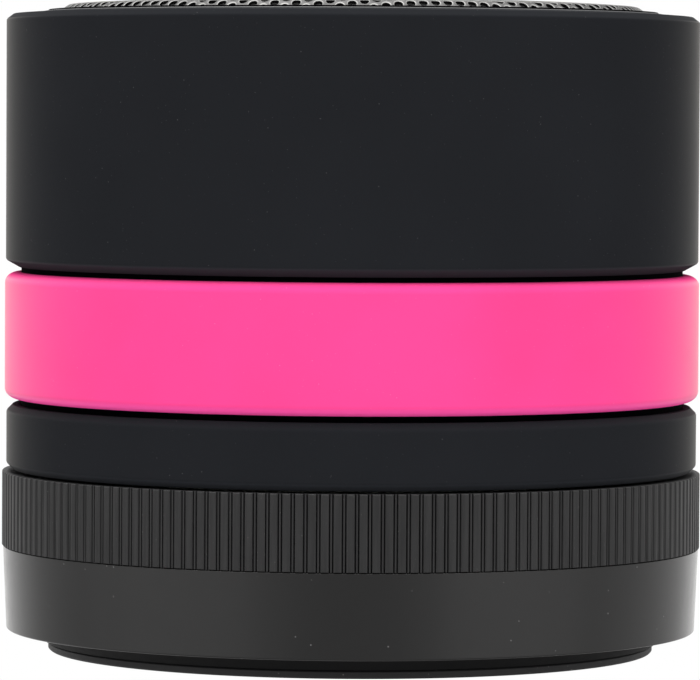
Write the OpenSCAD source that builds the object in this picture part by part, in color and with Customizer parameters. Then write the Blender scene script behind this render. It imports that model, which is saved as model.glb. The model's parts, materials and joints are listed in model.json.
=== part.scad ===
// Round shower speaker on a twist-lock suction base.
// Millimetres, +Z up. The origin is the centre of the sealing face of the
// suction cup; the controls and the charging port face +Y.
// Turned profiles list their points as [radius, z].

/* [Body] */
// Diameter over the knurled locking ring, the widest part
body_d = 60; // [60:1:66]
// Height of the lower black band
lower_h = 5.53; // [5.53:0.1:6.5]
// Height of the coloured middle band
accent_h = 10.81; // [10.81:0.1:13]
// Height of the upper black band
upper_h = 21.55; // [21.55:0.1:24]
// Height of the grille dome above its rim
dome_h = 1.1; // [0.6:0.1:2]
// Spacing of the large openings through the grille plate
grille_pitch = 4.8; // [4:0.1:8]

/* [Twist base] */
// Height of the glossy base skirt
skirt_h = 7.12; // [7.12:0.1:7.2]
// Height of the knurled locking ring
ring_h = 6.35; // [6.35:0.05:6.5]
// Number of ribs around the locking ring
ribs = 180; // [60:2:180]
// Thickness of the suction cup at its rim
foot_h = 0.71; // [0.6:0.01:0.75]
// Turn of the locking ring from free to locked, degrees
lock_turn = 90; // [60:5:90]
// Rise of the stud over that turn
lift = 2.5; // [1.5:0.1:2.5]

/* [Driver and controls] */
// Diameter over the flange of the loudspeaker
driver_d = 51.2; // [49.6:0.2:51.2]
// Thickness of the battery
battery_t = 5.5; // [4:0.1:5.5]
// Diameter of the four buttons
button_d = 6; // [5:0.1:6]

/* [Hidden] */

$fn = 96;

// Radii
body_r = body_d / 2;
lower_r = body_r - 0.35;
accent_r = body_r - 0.2;
upper_r = body_r - 0.27;
rebate_r = body_r - 1.5;    // rebates that slip over the frame
frame_r = body_r - 1.6;     // outside of the frame
frame_in_r = body_r - 3.5;
wall_r = body_r - 2.6;      // inside of the shells
boss_r = body_r - 5.6;      // circle of the case screws
cup_r = body_r - 4;
grille_r = body_r - 3.85;
flange_r = driver_d / 2;
seal_r = frame_r - 0.42;
switch_board_r = 22.9;      // inside of the curved button board
switch_r = 23.3;            // back of the parts on that board

// Heights of the stack, from the suction cup upwards
plate_bot = foot_h + 0.04;  // pressure plate rim
plate_top = plate_bot + 1.05;
skirt_bot = plate_top + 0.03;
skirt_top = skirt_bot + skirt_h;
ring_bot = skirt_top + 0.06;
ring_top = ring_bot + ring_h;
lower_bot = ring_top + 0.17;
lower_top = lower_bot + lower_h;
accent_bot = lower_top + 0.51;
accent_top = accent_bot + accent_h;
upper_bot = accent_top + 0.42;
upper_top = upper_bot + upper_h;

// Heights inside the case
floor_z = lower_bot + 1.5;
frame_bot = lower_bot + 3.92;
frame_top = upper_bot + 2.15;
deck_bot = upper_bot - 3.5;
deck_top = deck_bot + 1;
board_bot = lower_bot + 4.22;
board_top = board_bot + 1;
part_z = board_top + 0.03;      // underside of parts on the main board
switch_board_z = lower_bot + 7; // bottom of the frame wall behind the buttons
ledge_z = upper_top - 5.55;     // driver ledge, top face
driver_z = ledge_z + 0.4;       // underside of the driver flange
rim_z = upper_top + 0.4;        // rim of the grille dome
upper_seal_z = upper_bot + 1.1;
lower_seal_z = lower_top - 0.8;
button_z = (accent_bot + accent_top) / 2;
port_z = lower_bot + 2.87;

// Heights inside the base
roof_z = 6.6;                   // top of the pressure plate
pin_z = ring_bot + 0.59;        // cross pin with the mount free
hub_z = lower_bot - 0.05;       // top of the spindle
web_z = ring_top - 1.81;        // underside of the locking ring's web
base_head_z = 5.82;             // underside of the base screw heads

// Places around the case, degrees from +X
button_angles = [66, 82, 98, 114];
led_angle = 55;
mic_angle = 125;
key_angles = [0, 180, 240, 300];

// Hinge axis of the port cover
hinge_x = -5.4;
hinge_y = lower_r - 0.95;

screw_color = "#8f9194";

// ---- helpers ----
module post(radius, z, height) { translate([0, 0, z]) cylinder(r = radius, h = height); }
module box(corner, size) { translate(corner) cube(size); }
module ring(inner, outer, bot, top) {
    difference() {
        post(outer, bot, top - bot);
        post(inner, bot - 1, top - bot + 2);
    }
}
// turned band whose two outer edges are rounded
module rounded_band(inner, outer, bot, top, edge_r) {
    rotate_extrude() {
        translate([inner, bot]) square([outer - edge_r - inner, top - bot]);
        translate([inner, bot + edge_r]) square([outer - inner, top - bot - 2 * edge_r]);
        intersection() {
            for (z = [bot + edge_r, top - edge_r]) translate([outer - edge_r, z]) circle(r = edge_r);
            translate([inner, bot]) square([outer - inner, top - bot]);
        }
    }
}
// turns the children's +Z outwards along a radius
module radial(angle, radius, z) {
    rotate([0, 0, angle]) translate([radius, 0, z]) rotate([0, 90, 0]) children();
}
module turned(angles) { for (angle = angles) rotate([0, 0, angle]) children(); }
module around(count, radius, start = 0) {
    for (i = [0:count - 1]) rotate([0, 0, start + i * 360 / count]) translate([radius, 0, 0]) children();
}
// screw pointing +Z with the underside of its cross-slotted head at the origin
module screw(length, radius, head_r, head_h) {
    difference() {
        union() {
            post(head_r, -head_h, head_h + 0.01);
            cylinder(r = radius, h = length);
        }
        turned([0, 90]) box([-head_r * 0.6, -0.2, -head_h - 1], [head_r * 1.2, 0.4, 1 + head_h * 0.55]);
    }
}
module screw_down(length, radius, head_r, head_h) {
    rotate([180, 0, 0]) screw(length, radius, head_r, head_h);
}
module wire_segment(start, end, radius) {
    span = end - start;
    length = norm(span);
    translate(start) rotate([0, acos(span[2] / length), atan2(span[1], span[0])])
        cylinder(r = radius, h = length);
}
module wire(points, radius) {
    for (i = [0:len(points) - 2]) wire_segment(points[i], points[i + 1], radius);
    for (i = [1:1:len(points) - 2]) translate(points[i]) sphere(r = radius);
}
// shallow parabolic dome, out to edge_r, that rises by rise over the radius dome_r
function dome_line(edge_r, dome_r, rise, steps) = [for (i = [0:steps])
    let (x = edge_r * i / steps) [x, rise * (1 - pow(x / dome_r, 2))]];
module dome_sheet(edge_r, dome_r, rise, thick, steps = 10) {
    line = dome_line(edge_r, dome_r, rise, steps);
    rotate_extrude() polygon(concat(line, [for (i = [steps:-1:0]) line[i] - [0, thick]]));
}
// faces of a sweep whose points run section by section, with a cap at each end
function sweep_faces(steps, sides) = concat(
    [[for (k = [0:sides - 1]) k]],
    [[for (k = [sides - 1:-1:0]) steps * sides + k]],
    [for (i = [0:steps - 1], k = [0:sides - 1])
        [i * sides + k, (i + 1) * sides + k, (i + 1) * sides + (k + 1) % sides]],
    [for (i = [0:steps - 1], k = [0:sides - 1])
        [i * sides + k, (i + 1) * sides + (k + 1) % sides, i * sides + (k + 1) % sides]]);
function flipped(faces) = [for (face = faces) [for (k = [len(face) - 1:-1:0]) face[k]]];

// ---- screw patterns ----
module at_upper_case_screws() { around(4, boss_r) children(); }
module at_lower_case_screws() { around(4, boss_r, 45) children(); }
module at_driver_screws() { around(4, 23.9, 45) children(); }
module at_board_screws() { around(3, 21, 30) children(); }
module at_skirt_screws() { around(4, 17, 45) children(); }
module at_cam_screws() { around(4, 11.5, 45) children(); }
module at_spindle_screws() { around(3, 10.2, 90) children(); }
module at_hub_screws() { around(3, 4.4, 90) children(); }

// ---- case ----
module upper_shell() {
    color("#26272a") difference() {
        union() {
            rotate_extrude() polygon([
                // outside, from the bottom up
                [rebate_r, upper_bot], [upper_r - 1.15, upper_bot], [upper_r, upper_bot + 0.64],
                [upper_r, upper_top - 0.6], [upper_r - 0.6, upper_top],
                // seat of the grille
                [body_r - 3.2, upper_top + 0.25], [body_r - 3.2, upper_top - 1.95],
                [body_r - 4.1, upper_top - 1.95], [body_r - 4.1, upper_top - 2.95],
                // inside, with the driver ledge
                [wall_r, upper_top - 3.75], [wall_r, ledge_z], [21.9, ledge_z],
                [21.9, ledge_z - 2], [wall_r, ledge_z - 2],
                [wall_r, frame_top + 0.1], [rebate_r, frame_top + 0.1]]);
            at_upper_case_screws() post(2.2, frame_top + 0.05, ledge_z - 1 - frame_top);
        }
        at_upper_case_screws() post(1, frame_top - 1, 8.4);
        at_driver_screws() post(0.9, ledge_z - 3, 4);
    }
}
// domed plate with a short skirt and a triangular grid of openings
module grille() {
    thick = 0.45;
    reach = ceil(grille_r / grille_pitch);
    color("#b9babd") difference() {
        union() {
            translate([0, 0, rim_z]) dome_sheet(grille_r, grille_r, dome_h, thick, 6);
            ring(grille_r - thick, grille_r, upper_top - 1.9, rim_z);
        }
        for (row = [-2 * reach:2 * reach], column = [-reach:reach]) {
            x = (column + (row % 2 == 0 ? 0 : 0.5)) * grille_pitch;
            y = row * grille_pitch * sqrt(3) / 2;
            if (norm([x, y]) < grille_r - thick - grille_pitch * 0.36)
                translate([x, y, rim_z - 0.6]) cylinder(r = grille_pitch * 0.3, h = dome_h + 2, $fn = 32);
        }
    }
}
module grille_cloth() {
    color("#707276") translate([0, 0, rim_z - 0.7]) dome_sheet(grille_r - 0.55, grille_r, dome_h, 0.2);
}
module grille_ring() {
    color("#6d6f73") rotate_extrude() {
        translate([body_r - 3.75, upper_top - 1.9]) square([0.47, 2]);
        translate([body_r - 3.515, upper_top + 0.1]) circle(r = 0.235);
    }
}
module accent_band() {
    color("#fe4f9d") difference() {
        union() {
            rounded_band(rebate_r, accent_r, accent_bot, accent_top, 0.8);
            turned(key_angles) box([body_r - 2.3, -1.5, button_z - 3], [1.2, 3, 6]);
        }
        for (angle = button_angles) radial(angle, 26, button_z) cylinder(r = button_d / 2 + 0.1, h = 6);
        radial(led_angle, 26, button_z) cylinder(r = 0.85, h = 6);
        radial(mic_angle, 26, button_z) cylinder(r = 0.5, h = 6);
    }
}
module inner_frame() {
    ear_x = boss_r - 2.3;
    color("#141518") difference() {
        union() {
            // outer wall, open behind the buttons
            difference() {
                ring(frame_in_r, frame_r, frame_bot, frame_top);
                box([-14.8, 18, button_z - 3.9], [29.6, 14, 7.8]);
            }
            // deck
            post(frame_in_r + 0.1, deck_bot, deck_top - deck_bot);
            // curved wall inside the button board
            intersection() {
                ring(21.7, 22.8, switch_board_z, deck_bot + 0.1);
                box([-17, 14, lower_bot], [34, 10, 20]);
            }
            at_lower_case_screws() post(2.2, floor_z + 1.05, deck_bot - floor_z - 0.95);
            // ears for the upper case screws
            turned([0:90:270]) difference() {
                box([ear_x, -2.6, frame_top - 1.3], [frame_in_r + 0.2 - ear_x, 5.2, 1.3]);
                translate([boss_r, 0, 0]) cylinder(r = 1.1, h = 60);
            }
        }
        at_lower_case_screws() post(1, floor_z, 8.6);
        // seal grooves
        for (z = [lower_seal_z, upper_seal_z]) ring(frame_r - 0.9, body_r, z - 0.5, z + 0.5);
        turned(key_angles) box([body_r - 2.4, -1.6, button_z - 3.1], [2, 3.2, 6.2]);
        // notch over the charging socket
        box([-4.4, 24, frame_bot - 1], [8.8, 8, port_z + 2.45 - frame_bot]);
        radial(led_angle, 25, button_z) cylinder(r = 0.95, h = 6);
        radial(mic_angle, 25, button_z) cylinder(r = 1.2, h = 6);
        // slot in the deck for the speaker wires
        box([-1, -22.5, deck_bot - 1], [8, 3, 4]);
    }
}
module lower_shell() {
    color("#26272a") difference() {
        union() {
            rotate_extrude() polygon([
                [0, lower_bot], [lower_r - 0.55, lower_bot], [lower_r, lower_bot + 0.55],
                [lower_r, lower_top - 0.55], [lower_r - 0.55, lower_top], [rebate_r, lower_top],
                [rebate_r, frame_bot - 0.05], [wall_r, frame_bot - 0.05],
                [wall_r, floor_z], [0, floor_z]]);
            at_lower_case_screws() post(2.9, floor_z - 0.1, 1.1);
            at_board_screws() post(2.2, floor_z - 0.1, board_bot - floor_z + 0.05);
        }
        at_lower_case_screws() {
            post(1.95, lower_bot - 1, 2.2);
            post(1.1, lower_bot - 1, 5);
        }
        at_board_screws() post(0.75, floor_z + 0.2, 5);
        at_hub_screws() post(1, lower_bot - 1, 4);
        // groove of the hub seal
        ring(5.8, 6.8, lower_bot - 1, lower_bot + 1.02);
        // charging port: opening, pocket for the cover, hinge and a finger notch
        box([-4.2, 24, port_z - 1.45], [8.4, 8, 2.9]);
        difference() {
            box([hinge_x, 24, port_z - 2.15], [10.7, 8, 4.3]);
            cylinder(r = rebate_r, h = 40);
        }
        translate([hinge_x, hinge_y, port_z]) {
            post(0.75, -2.15, 4.3);
            post(0.39, -2.5, 5);
        }
        translate([5.7, lower_r - 0.4, port_z]) sphere(r = 0.9);
    }
}
module seal(radius, section_r, z) {
    color("#2b2b2b") translate([0, 0, z]) rotate_extrude() translate([radius, 0]) circle(r = section_r);
}
module upper_seal() { seal(seal_r, 0.45, upper_seal_z); }
module lower_seal() { seal(seal_r, 0.45, lower_seal_z); }
module hub_seal() { seal(6.3, 0.46, lower_bot + 0.5); }
module case_screws() {
    color(screw_color) {
        at_lower_case_screws() translate([0, 0, lower_bot + 1.15]) screw(8, 0.95, 1.8, 1.05);
        at_upper_case_screws() translate([0, 0, frame_top - 1.35]) screw(8, 0.95, 1.8, 1.05);
    }
}

// ---- twist-lock suction base ----
// disc with a shallow groove between each pair of ribs
module knurl_2d() {
    rib_pitch = body_r * 2 * PI / ribs;
    difference() {
        circle(r = body_r);
        for (i = [0:ribs - 1]) rotate((i + 0.5) * 360 / ribs)
            translate([body_r - 0.38, -0.17 * rib_pitch]) square([1, 0.34 * rib_pitch]);
    }
}
module lock_ring() {
    edge_r = body_r + 0.02;
    edge = 0.24; // chamfer of both outer edges
    color("#2c2d2f") difference() {
        union() {
            difference() {
                intersection() {
                    translate([0, 0, ring_bot]) linear_extrude(ring_h) knurl_2d();
                    rotate_extrude() polygon([
                        [0, ring_bot], [edge_r - edge, ring_bot], [edge_r, ring_bot + edge],
                        [edge_r, ring_top - edge], [edge_r - edge, ring_top], [0, ring_top]]);
                }
                post(body_r - 3, ring_bot - 1, ring_h + 2);
            }
            ring(9.2, body_r - 2.9, web_z, web_z + 1.4);
        }
        at_cam_screws() post(0.85, web_z - 1, 4);
    }
}
// cutter for one helical slot: straight radial sides, level at both ends where the pin rests
module cam_slot() {
    steps = 16;
    half_h = 1.13;
    rest = 9.6; // level end, degrees
    // [angle, rise] along the slot, from locked to free
    stations = concat([[-lock_turn - rest, lift]],
        [for (i = [0:steps]) [-lock_turn * (1 - i / steps), lift * (1 - i / steps)]],
        [[rest, 0]]);
    // [radius, z] around the section
    corners = [[6, -half_h], [10, -half_h], [10, half_h], [6, half_h]];
    points = [for (at = stations, corner = corners)
        [corner[0] * cos(at[0]), corner[0] * sin(at[0]), pin_z + at[1] + corner[1]]];
    polyhedron(points, flipped(sweep_faces(len(stations) - 1, len(corners))));
}
module lift_cam() {
    cam_top = web_z - 0.05;
    color("#d9d9d4") difference() {
        union() {
            ring(7.1, 9, roof_z + 1.2, cam_top);
            ring(8.5, 14, web_z - 1.45, cam_top);
        }
        // two helical slots, half a turn apart
        cam_slot();
        rotate([0, 0, 180]) cam_slot();
        at_cam_screws() post(0.95, web_z - 3, 4);
    }
}
module cam_screws() {
    color(screw_color) at_cam_screws() translate([0, 0, web_z - 1.5]) screw(2.7, 0.8, 1.6, 0.9);
}
module slip_ring() { color("#efefe8") ring(19, 24, web_z + 1.45, hub_z); }
module base_skirt() {
    color("#1b1b1d") difference() {
        union() {
            rotate_extrude() {
                polygon([
                    [body_r - 2.6, skirt_bot], [body_r - 1, skirt_bot],
                    [body_r - 0.4, skirt_bot + 0.6], [body_r - 0.1, skirt_top - 0.2],
                    [body_r - 0.3, skirt_top], [14.6, skirt_top],
                    [14.6, skirt_top - 1.4], [body_r - 2.6, skirt_top - 1.4]]);
                translate([body_r - 1, skirt_bot + 0.6]) circle(r = 0.6);
            }
            ring(body_r - 4.2, body_r - 3.1, skirt_top - 0.1, skirt_top + 2);
            at_skirt_screws() post(2.2, roof_z + 0.05, skirt_top - 1 - roof_z);
        }
        at_skirt_screws() post(0.85, roof_z - 1, 3.05);
    }
}
// hole with a counterbore below, through the top of the pressure plate
module plate_hole() {
    cylinder(r = 0.95, h = 9);
    post(1.7, 4, 1.85);
}
module pressure_plate() {
    color("#17181a") difference() {
        rotate_extrude() polygon([
            [6.8, 5], [18.2, 5], [22.4, plate_bot], [body_r - 3.75, plate_bot],
            [body_r - 2.7, plate_top], [24.4, plate_top], [19.8, roof_z], [6.8, roof_z]]);
        at_skirt_screws() plate_hole();
        at_spindle_screws() plate_hole();
    }
}
module base_screws() {
    color(screw_color) {
        at_skirt_screws() translate([0, 0, base_head_z]) screw(2.2, 0.8, 1.6, 0.75);
        at_spindle_screws() translate([0, 0, base_head_z]) screw(1.7, 0.8, 1.6, 0.75);
    }
}
module spindle() {
    slot_r = 1.05;
    slot_bot = pin_z - 0.05;
    slot_top = pin_z + lift + 0.05;
    color("#c9c9c4") difference() {
        union() {
            ring(2.6, 7, roof_z + 0.05, hub_z);
            ring(6, 12.4, roof_z + 0.05, roof_z + 1.05);
        }
        // upright slot for the cross pin
        box([-8, -slot_r, slot_bot], [16, 2 * slot_r, slot_top - slot_bot]);
        for (z = [slot_bot, slot_top]) radial(0, -8, z) cylinder(r = slot_r, h = 16);
        at_hub_screws() post(0.75, hub_z - 5, 6);
        at_spindle_screws() post(0.85, roof_z - 1, 4);
    }
}
module hub_screws() {
    color(screw_color) at_hub_screws() translate([0, 0, floor_z + 0.02]) screw_down(5.4, 0.7, 1.35, 1);
}
module suction_cup() {
    color("#34353a") rotate_extrude() polygon([
        // underside and rim
        [0, 1.6], [9, 1.35], [cup_r - 3.6, 0], [cup_r - 0.15, 0], [cup_r, 0.12],
        [cup_r, foot_h - 0.12], [cup_r - 0.12, foot_h],
        // top and central neck
        [21.4, foot_h], [17, 1.45], [8, 2.25], [5.8, 2.5], [5.8, 4.9],
        // socket around the foot of the stud
        [2.55, 4.9], [2.55, 3.65], [4.55, 3.65], [4.55, 2.95], [0, 2.95]]);
}
module lift_stud() {
    color("#b9bbbe") difference() {
        union() {
            post(2.5, 3, pin_z - 1.7);
            post(4.5, 3, 0.6);
        }
        radial(0, -5, pin_z) cylinder(r = 1.03, h = 10);
    }
}
module cross_pin() { color("#d0d2d4") radial(0, -8.7, pin_z) cylinder(r = 1, h = 17.4); }

// compression spring with closed ends, swept point by point along its coil
spring_turns = 5;
spring_r = 1.9;        // to the middle of the wire
spring_wire_r = 0.16;
spring_gap = 0.02;     // clearance at each end
spring_bot = pin_z + 1.36;
spring_top = lower_bot - 0.04;
// share of the height reached at a share of the length; flatter over the end fifths
function spring_rise(along) =
    along < 0.2 ? along * 0.42 :
    along > 0.8 ? 1 - (1 - along) * 0.42 :
    0.084 + (along - 0.2) * 0.832 / 0.6;
module stud_spring() {
    steps = spring_turns * 18;
    sides = 8;
    height = spring_top - spring_bot - 2 * spring_wire_r - 2 * spring_gap;
    start_z = spring_bot + spring_gap + spring_wire_r;
    points = [for (i = [0:steps], k = [0:sides - 1])
        let (
            turn = 360 * spring_turns * i / steps,
            side = 360 * k / sides,
            radius = spring_r + spring_wire_r * cos(side))
        [radius * cos(turn), radius * sin(turn),
            start_z + height * spring_rise(i / steps) + spring_wire_r * sin(side)]];
    color("#c4c6c8") polyhedron(points, sweep_faces(steps, sides));
}

// ---- loudspeaker; heights are from the underside of its flange ----
module at_driver() { translate([0, 0, driver_z]) children(); }
module driver_basket() {
    color("#3b3d40") at_driver() difference() {
        rotate_extrude() polygon([
            [7, -10.15], [14.6, -10.15], [14.6, -8], [21.6, -2.7], [21.6, 0],
            [flange_r, 0], [flange_r, 1], [20.9, 1], [20.9, -2.3], [14, -7.6],
            [11.6, -7.6], [11.6, -9.2], [7, -9.2]]);
        // six windows
        turned([30:60:330]) box([15.2, -4, -6.9], [8, 8, 3.2]);
        at_driver_screws() post(0.95, -1, 4);
    }
}
module driver_gasket() {
    color("#1d1d1d") difference() {
        ring(22, flange_r - 0.2, ledge_z + 0.05, driver_z - 0.05);
        at_driver_screws() post(0.95, ledge_z - 1, 4);
    }
}
module driver_screws() {
    color(screw_color) at_driver() at_driver_screws()
        translate([0, 0, 1.05]) screw_down(4.2, 0.8, 1.6, 0.9);
}
module top_plate() { color("#9a9c9f") at_driver() ring(6.8, 14.2, -12.17, -10.2); }
module magnet() { color("#2e2f31") at_driver() ring(8.2, 15.5, -16.17, -12.2); }
// back plate with a bored centre pole
module yoke() {
    color("#9a9c9f") at_driver() difference() {
        union() {
            post(14.5, -18.2, 2);
            post(5.9, -16.3, 6.1);
        }
        post(1.5, -19, 12);
    }
}
module coil_former() { color("#c8a86a") at_driver() ring(6.12, 6.28, -14.2, -5.6); }
module voice_coil() { color("#b8703c") at_driver() ring(6.31, 6.6, -13, -9.4); }
module cone() {
    color("#2b2a28") at_driver() rotate_extrude()
        polygon([[6.35, -6.25], [17.8, -0.25], [17.8, 0.18], [6.35, -5.75]]);
}
module dust_cap() {
    color("#232323") at_driver() translate([0, 0, -4.55]) dome_sheet(8.1, 8.1, 1.9, 0.3, 8);
}
module surround() {
    color("#1a1a1b") at_driver() rotate_extrude() {
        // half roll
        intersection() {
            translate([19.2, 0.85]) difference() {
                circle(r = 1.6);
                circle(r = 1.25);
            }
            translate([17, 0.85]) square([5, 3]);
        }
        // step and lip on the cone
        translate([17.6, 0.25]) square([0.35, 0.61]);
        translate([16.5, 0.25]) square([1.45, 0.3]);
        // step and lip on the basket
        translate([20.45, 0.84]) square([0.35, 0.5]);
        translate([20.45, 1.05]) square([1.65, 0.3]);
    }
}
// thin corrugated disc that falls outwards to a flat rim
module spider() {
    half_t = 0.08;
    steps = 20;
    inner = 6.36;
    outer = 11.5;
    fall = 0.84;
    line = concat(
        [for (i = [0:steps])
            [inner + (outer - inner) * i / steps, -6.65 - fall * i / steps + 0.22 * sin(i * 72)]],
        [[13.8, -6.65 - fall]]);
    color("#c9a24e") at_driver() rotate_extrude() polygon(concat(
        [for (point = line) point + [0, half_t]],
        [for (i = [steps + 1:-1:0]) line[i] - [0, half_t]]));
}
terminal_x = 2.4;
module driver_terminals() {
    color("#8a5a34") box([-4, -20, driver_z - 8.2], [8, 0.7, 3.4]);
    color("#d8c27a") for (x = [-terminal_x, terminal_x])
        box([x - 0.7, -21, driver_z - 6.9], [1.4, 1.01, 1.2]);
}

// ---- electronics ----
module main_board() {
    color("#1f6b3f") difference() {
        post(body_r - 5, board_bot, 1);
        at_lower_case_screws() post(2.6, board_bot - 1, 3);
        at_board_screws() post(0.95, board_bot - 1, 3);
    }
}
module board_screws() {
    color(screw_color) at_board_screws() translate([0, 0, part_z]) screw_down(3, 0.7, 1.5, 0.8);
}
// small board under a metal can
module radio_module() {
    color("#2a7a4a") box([-16, -8, part_z], [13, 16, 0.6]);
    color("#c2c4c6") box([-15, -6.5, board_top + 0.62], [11, 11, 1.4]);
}
// each chip: [x, y] of its corner, size
chips = [
    [[2, -4], [5, 5, 0.9]],
    [[10, -6], [4, 6, 1.2]],
    [[2, 6], [4, 3, 1]],
    [[9, 3], [4.4, 4.4, 1.8]],
    [[-3.5, 20.6], [7, 2.2, 1.1]],
];
module board_chips() {
    color("#1c1c1e") for (chip = chips) box([chip[0][0], chip[0][1], part_z], chip[1]);
}
module capacitors() {
    color("#34363c") for (x = [-9.6, -3.6]) translate([x, 14.4, board_top + 0.05]) cylinder(r = 2.5, h = 5.2);
}
// pouch with rounded long sides
module battery() {
    width = 34;
    depth = 24;
    inset = 0.8; // side rounding centres, in from the sides
    color("#8fa2b8") translate([-17, -14, deck_bot - 0.6 - battery_t]) intersection() {
        cube([width, depth, battery_t]);
        union() {
            for (x = [inset, width - inset])
                translate([x, 0, battery_t / 2]) rotate([-90, 0, 0]) cylinder(r = battery_t / 2, h = depth);
            box([inset, 0, 0], [width - 2 * inset, depth, battery_t]);
        }
    }
}
module battery_pad() { color("#3a3a3c") box([-13, -11, deck_bot - 0.55], [26, 18, 0.5]); }
module wire_sockets() {
    color("#e6e2d4") for (x = [-8, 2.2]) difference() {
        box([x, -21.6, part_z], [5.8, 4.4, 3.2]);
        box([x + 0.7, -21, board_top + 1.2], [4.4, 3.2, 4]);
    }
}
wire_r = 0.45;
wire_z = board_top + 1.3; // wire ends inside the sockets
module battery_wires() {
    turn_z = deck_bot - 2.6;
    color("#b02020") for (x = [-6.4, -3.9])
        wire([[x, -19.4, wire_z], [x, -19.4, turn_z], [x, -14.7, turn_z],
            [x, -14.7, deck_bot - 3.1]], wire_r);
}
module speaker_wires() {
    color("#303236") for (k = [0, 1]) {
        socket_x = 3.7 + 2.3 * k;
        end_x = k == 0 ? -terminal_x : terminal_x;
        cross_z = deck_top + 2 + 2 * k; // one wire crosses above the other
        wire([[socket_x, -20.2, wire_z], [socket_x, -20.2, cross_z], [end_x, -20.2, cross_z],
            [end_x, -21.5, cross_z], [end_x, -21.5, driver_z - 5.8]], wire_r);
    }
}
module charge_socket() {
    color("#c6c8ca") difference() {
        box([-3.75, 20.8, port_z - 1.3], [7.5, 5.4, 2.6]);
        box([-3.35, 22, port_z - 0.9], [6.7, 6, 1.8]);
    }
    // tongue
    color("#1a1a1a") box([-2.6, 21.9, port_z - 0.25], [5.2, 3.6, 0.5]);
}

// ---- controls on the +Y side ----
// curved flap with a hinge barrel and a hollow plug
module port_cover() {
    color("#303135") difference() {
        union() {
            intersection() {
                ring(rebate_r + 0.05, lower_r - 0.05, port_z - 2.1, port_z + 2.1);
                box([hinge_x + 0.05, 20, port_z - 3], [10.4, 12, 6]);
            }
            translate([hinge_x, hinge_y, port_z - 2.1]) cylinder(r = 0.64, h = 4.2);
            box([-3.7, wall_r - 0.1, port_z - 1.25], [7.4, 1.4, 2.5]);
        }
        translate([hinge_x, hinge_y, port_z - 3]) cylinder(r = 0.4, h = 6);
        box([-3.1, wall_r - 0.6, port_z - 0.75], [6.2, 1.1, 1.5]);
    }
}
module port_pin() {
    color("#c4c6c8") translate([hinge_x, hinge_y, port_z - 2.45]) cylinder(r = 0.35, h = 4.9);
}
module mark_power() {
    difference() {
        circle(r = 1.25);
        circle(r = 0.9);
        translate([-0.45, 0]) square([0.9, 2]);
    }
    translate([-0.17, 0]) square([0.34, 1.5]);
}
module mark_play() {
    translate([-0.75, 0]) circle(r = 0.95, $fn = 3);
    for (x = [0.55, 1.15]) translate([x, -0.85]) square([0.35, 1.7]);
}
module mark_minus() { translate([-1.2, -0.2]) square([2.4, 0.4]); }
module mark_plus() {
    mark_minus();
    translate([-0.2, -1.2]) square([0.4, 2.4]);
}
// button with a flange and a stem behind it; the child is the mark cut into its face
module button(angle) {
    color("#f0458f") rotate([0, 0, angle]) difference() {
        union() {
            intersection() {
                radial(0, 27.9, button_z) cylinder(r = button_d / 2, h = body_r - 27);
                cylinder(r = body_r, h = 60);
            }
            radial(0, body_r - 2.6, button_z) cylinder(r = button_d / 2 + 0.4, h = 0.65);
            radial(0, 25.9, button_z) cylinder(r = 1, h = body_r - 28.3);
        }
        translate([body_r - 0.17, 0, button_z]) rotate([90, 0, 90]) linear_extrude(2) children();
    }
}
module power_button() { button(button_angles[0]) mark_power(); }
module volume_down_button() { button(button_angles[1]) mark_minus(); }
module play_button() { button(button_angles[2]) mark_play(); }
module volume_up_button() { button(button_angles[3]) mark_plus(); }
module button_board() {
    color("#c98a1e") intersection() {
        ring(switch_board_r, 23.25, switch_board_z + 0.1, deck_bot - 0.1);
        box([-14.8, 14, lower_bot], [29.6, 12, 20]);
    }
}
module tact_switches() {
    for (angle = button_angles) {
        color("#d4d6d8") rotate([0, 0, angle]) box([switch_r, -1.9, button_z - 1.9], [1.45, 3.8, 3.8]);
        color("#202022") radial(angle, 24.7, button_z) cylinder(r = 0.9, h = 0.7);
    }
}
module ribbon_cable() {
    bottom = board_top + 0.05;
    color("#d7a24a") box([-3, 22.95, bottom], [6, 0.15, switch_board_z - bottom]);
}
module light_pipe() {
    color("#e8f2ff") radial(led_angle, 24.4, button_z) cylinder(r = 0.75, h = accent_r - 24.36);
}
module status_led() {
    color("#f4f4d0") rotate([0, 0, led_angle]) box([switch_r, -0.8, button_z - 0.5], [0.9, 1.6, 1]);
}
module microphone() { color("#b8babd") radial(mic_angle, 23.35, button_z) cylinder(r = 1.6, h = 1.5); }

upper_shell();
grille();
grille_cloth();
grille_ring();
accent_band();
lower_shell();
inner_frame();
upper_seal();
lower_seal();
hub_seal();
lock_ring();
lift_cam();
cam_screws();
slip_ring();
base_skirt();
pressure_plate();
base_screws();
spindle();
hub_screws();
suction_cup();
lift_stud();
cross_pin();
stud_spring();
driver_basket();
driver_gasket();
driver_screws();
top_plate();
magnet();
yoke();
voice_coil();
coil_former();
cone();
dust_cap();
surround();
spider();
driver_terminals();
main_board();
board_screws();
radio_module();
board_chips();
capacitors();
battery();
battery_pad();
wire_sockets();
battery_wires();
speaker_wires();
charge_socket();
port_cover();
port_pin();
button_board();
tact_switches();
ribbon_cable();
power_button();
play_button();
volume_down_button();
volume_up_button();
light_pipe();
status_led();
microphone();
case_screws();
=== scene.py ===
"""A round speaker on a suction-cup base, standing on Z = 0 with its axis along Z.

The camera looks along +Y, so the front is towards -Y. The buttons and the port cover are on
the back, towards +Y. Azimuths are in degrees from +X. Sizes are in millimetres up to the
point where a mesh is built; joints, lights and camera are in metres.
"""
import json
import math

import bmesh
import bpy
import numpy as np
from mathutils import Matrix, Vector
from mathutils.geometry import delaunay_2d_cdt
from mathutils.kdtree import KDTree


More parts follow.
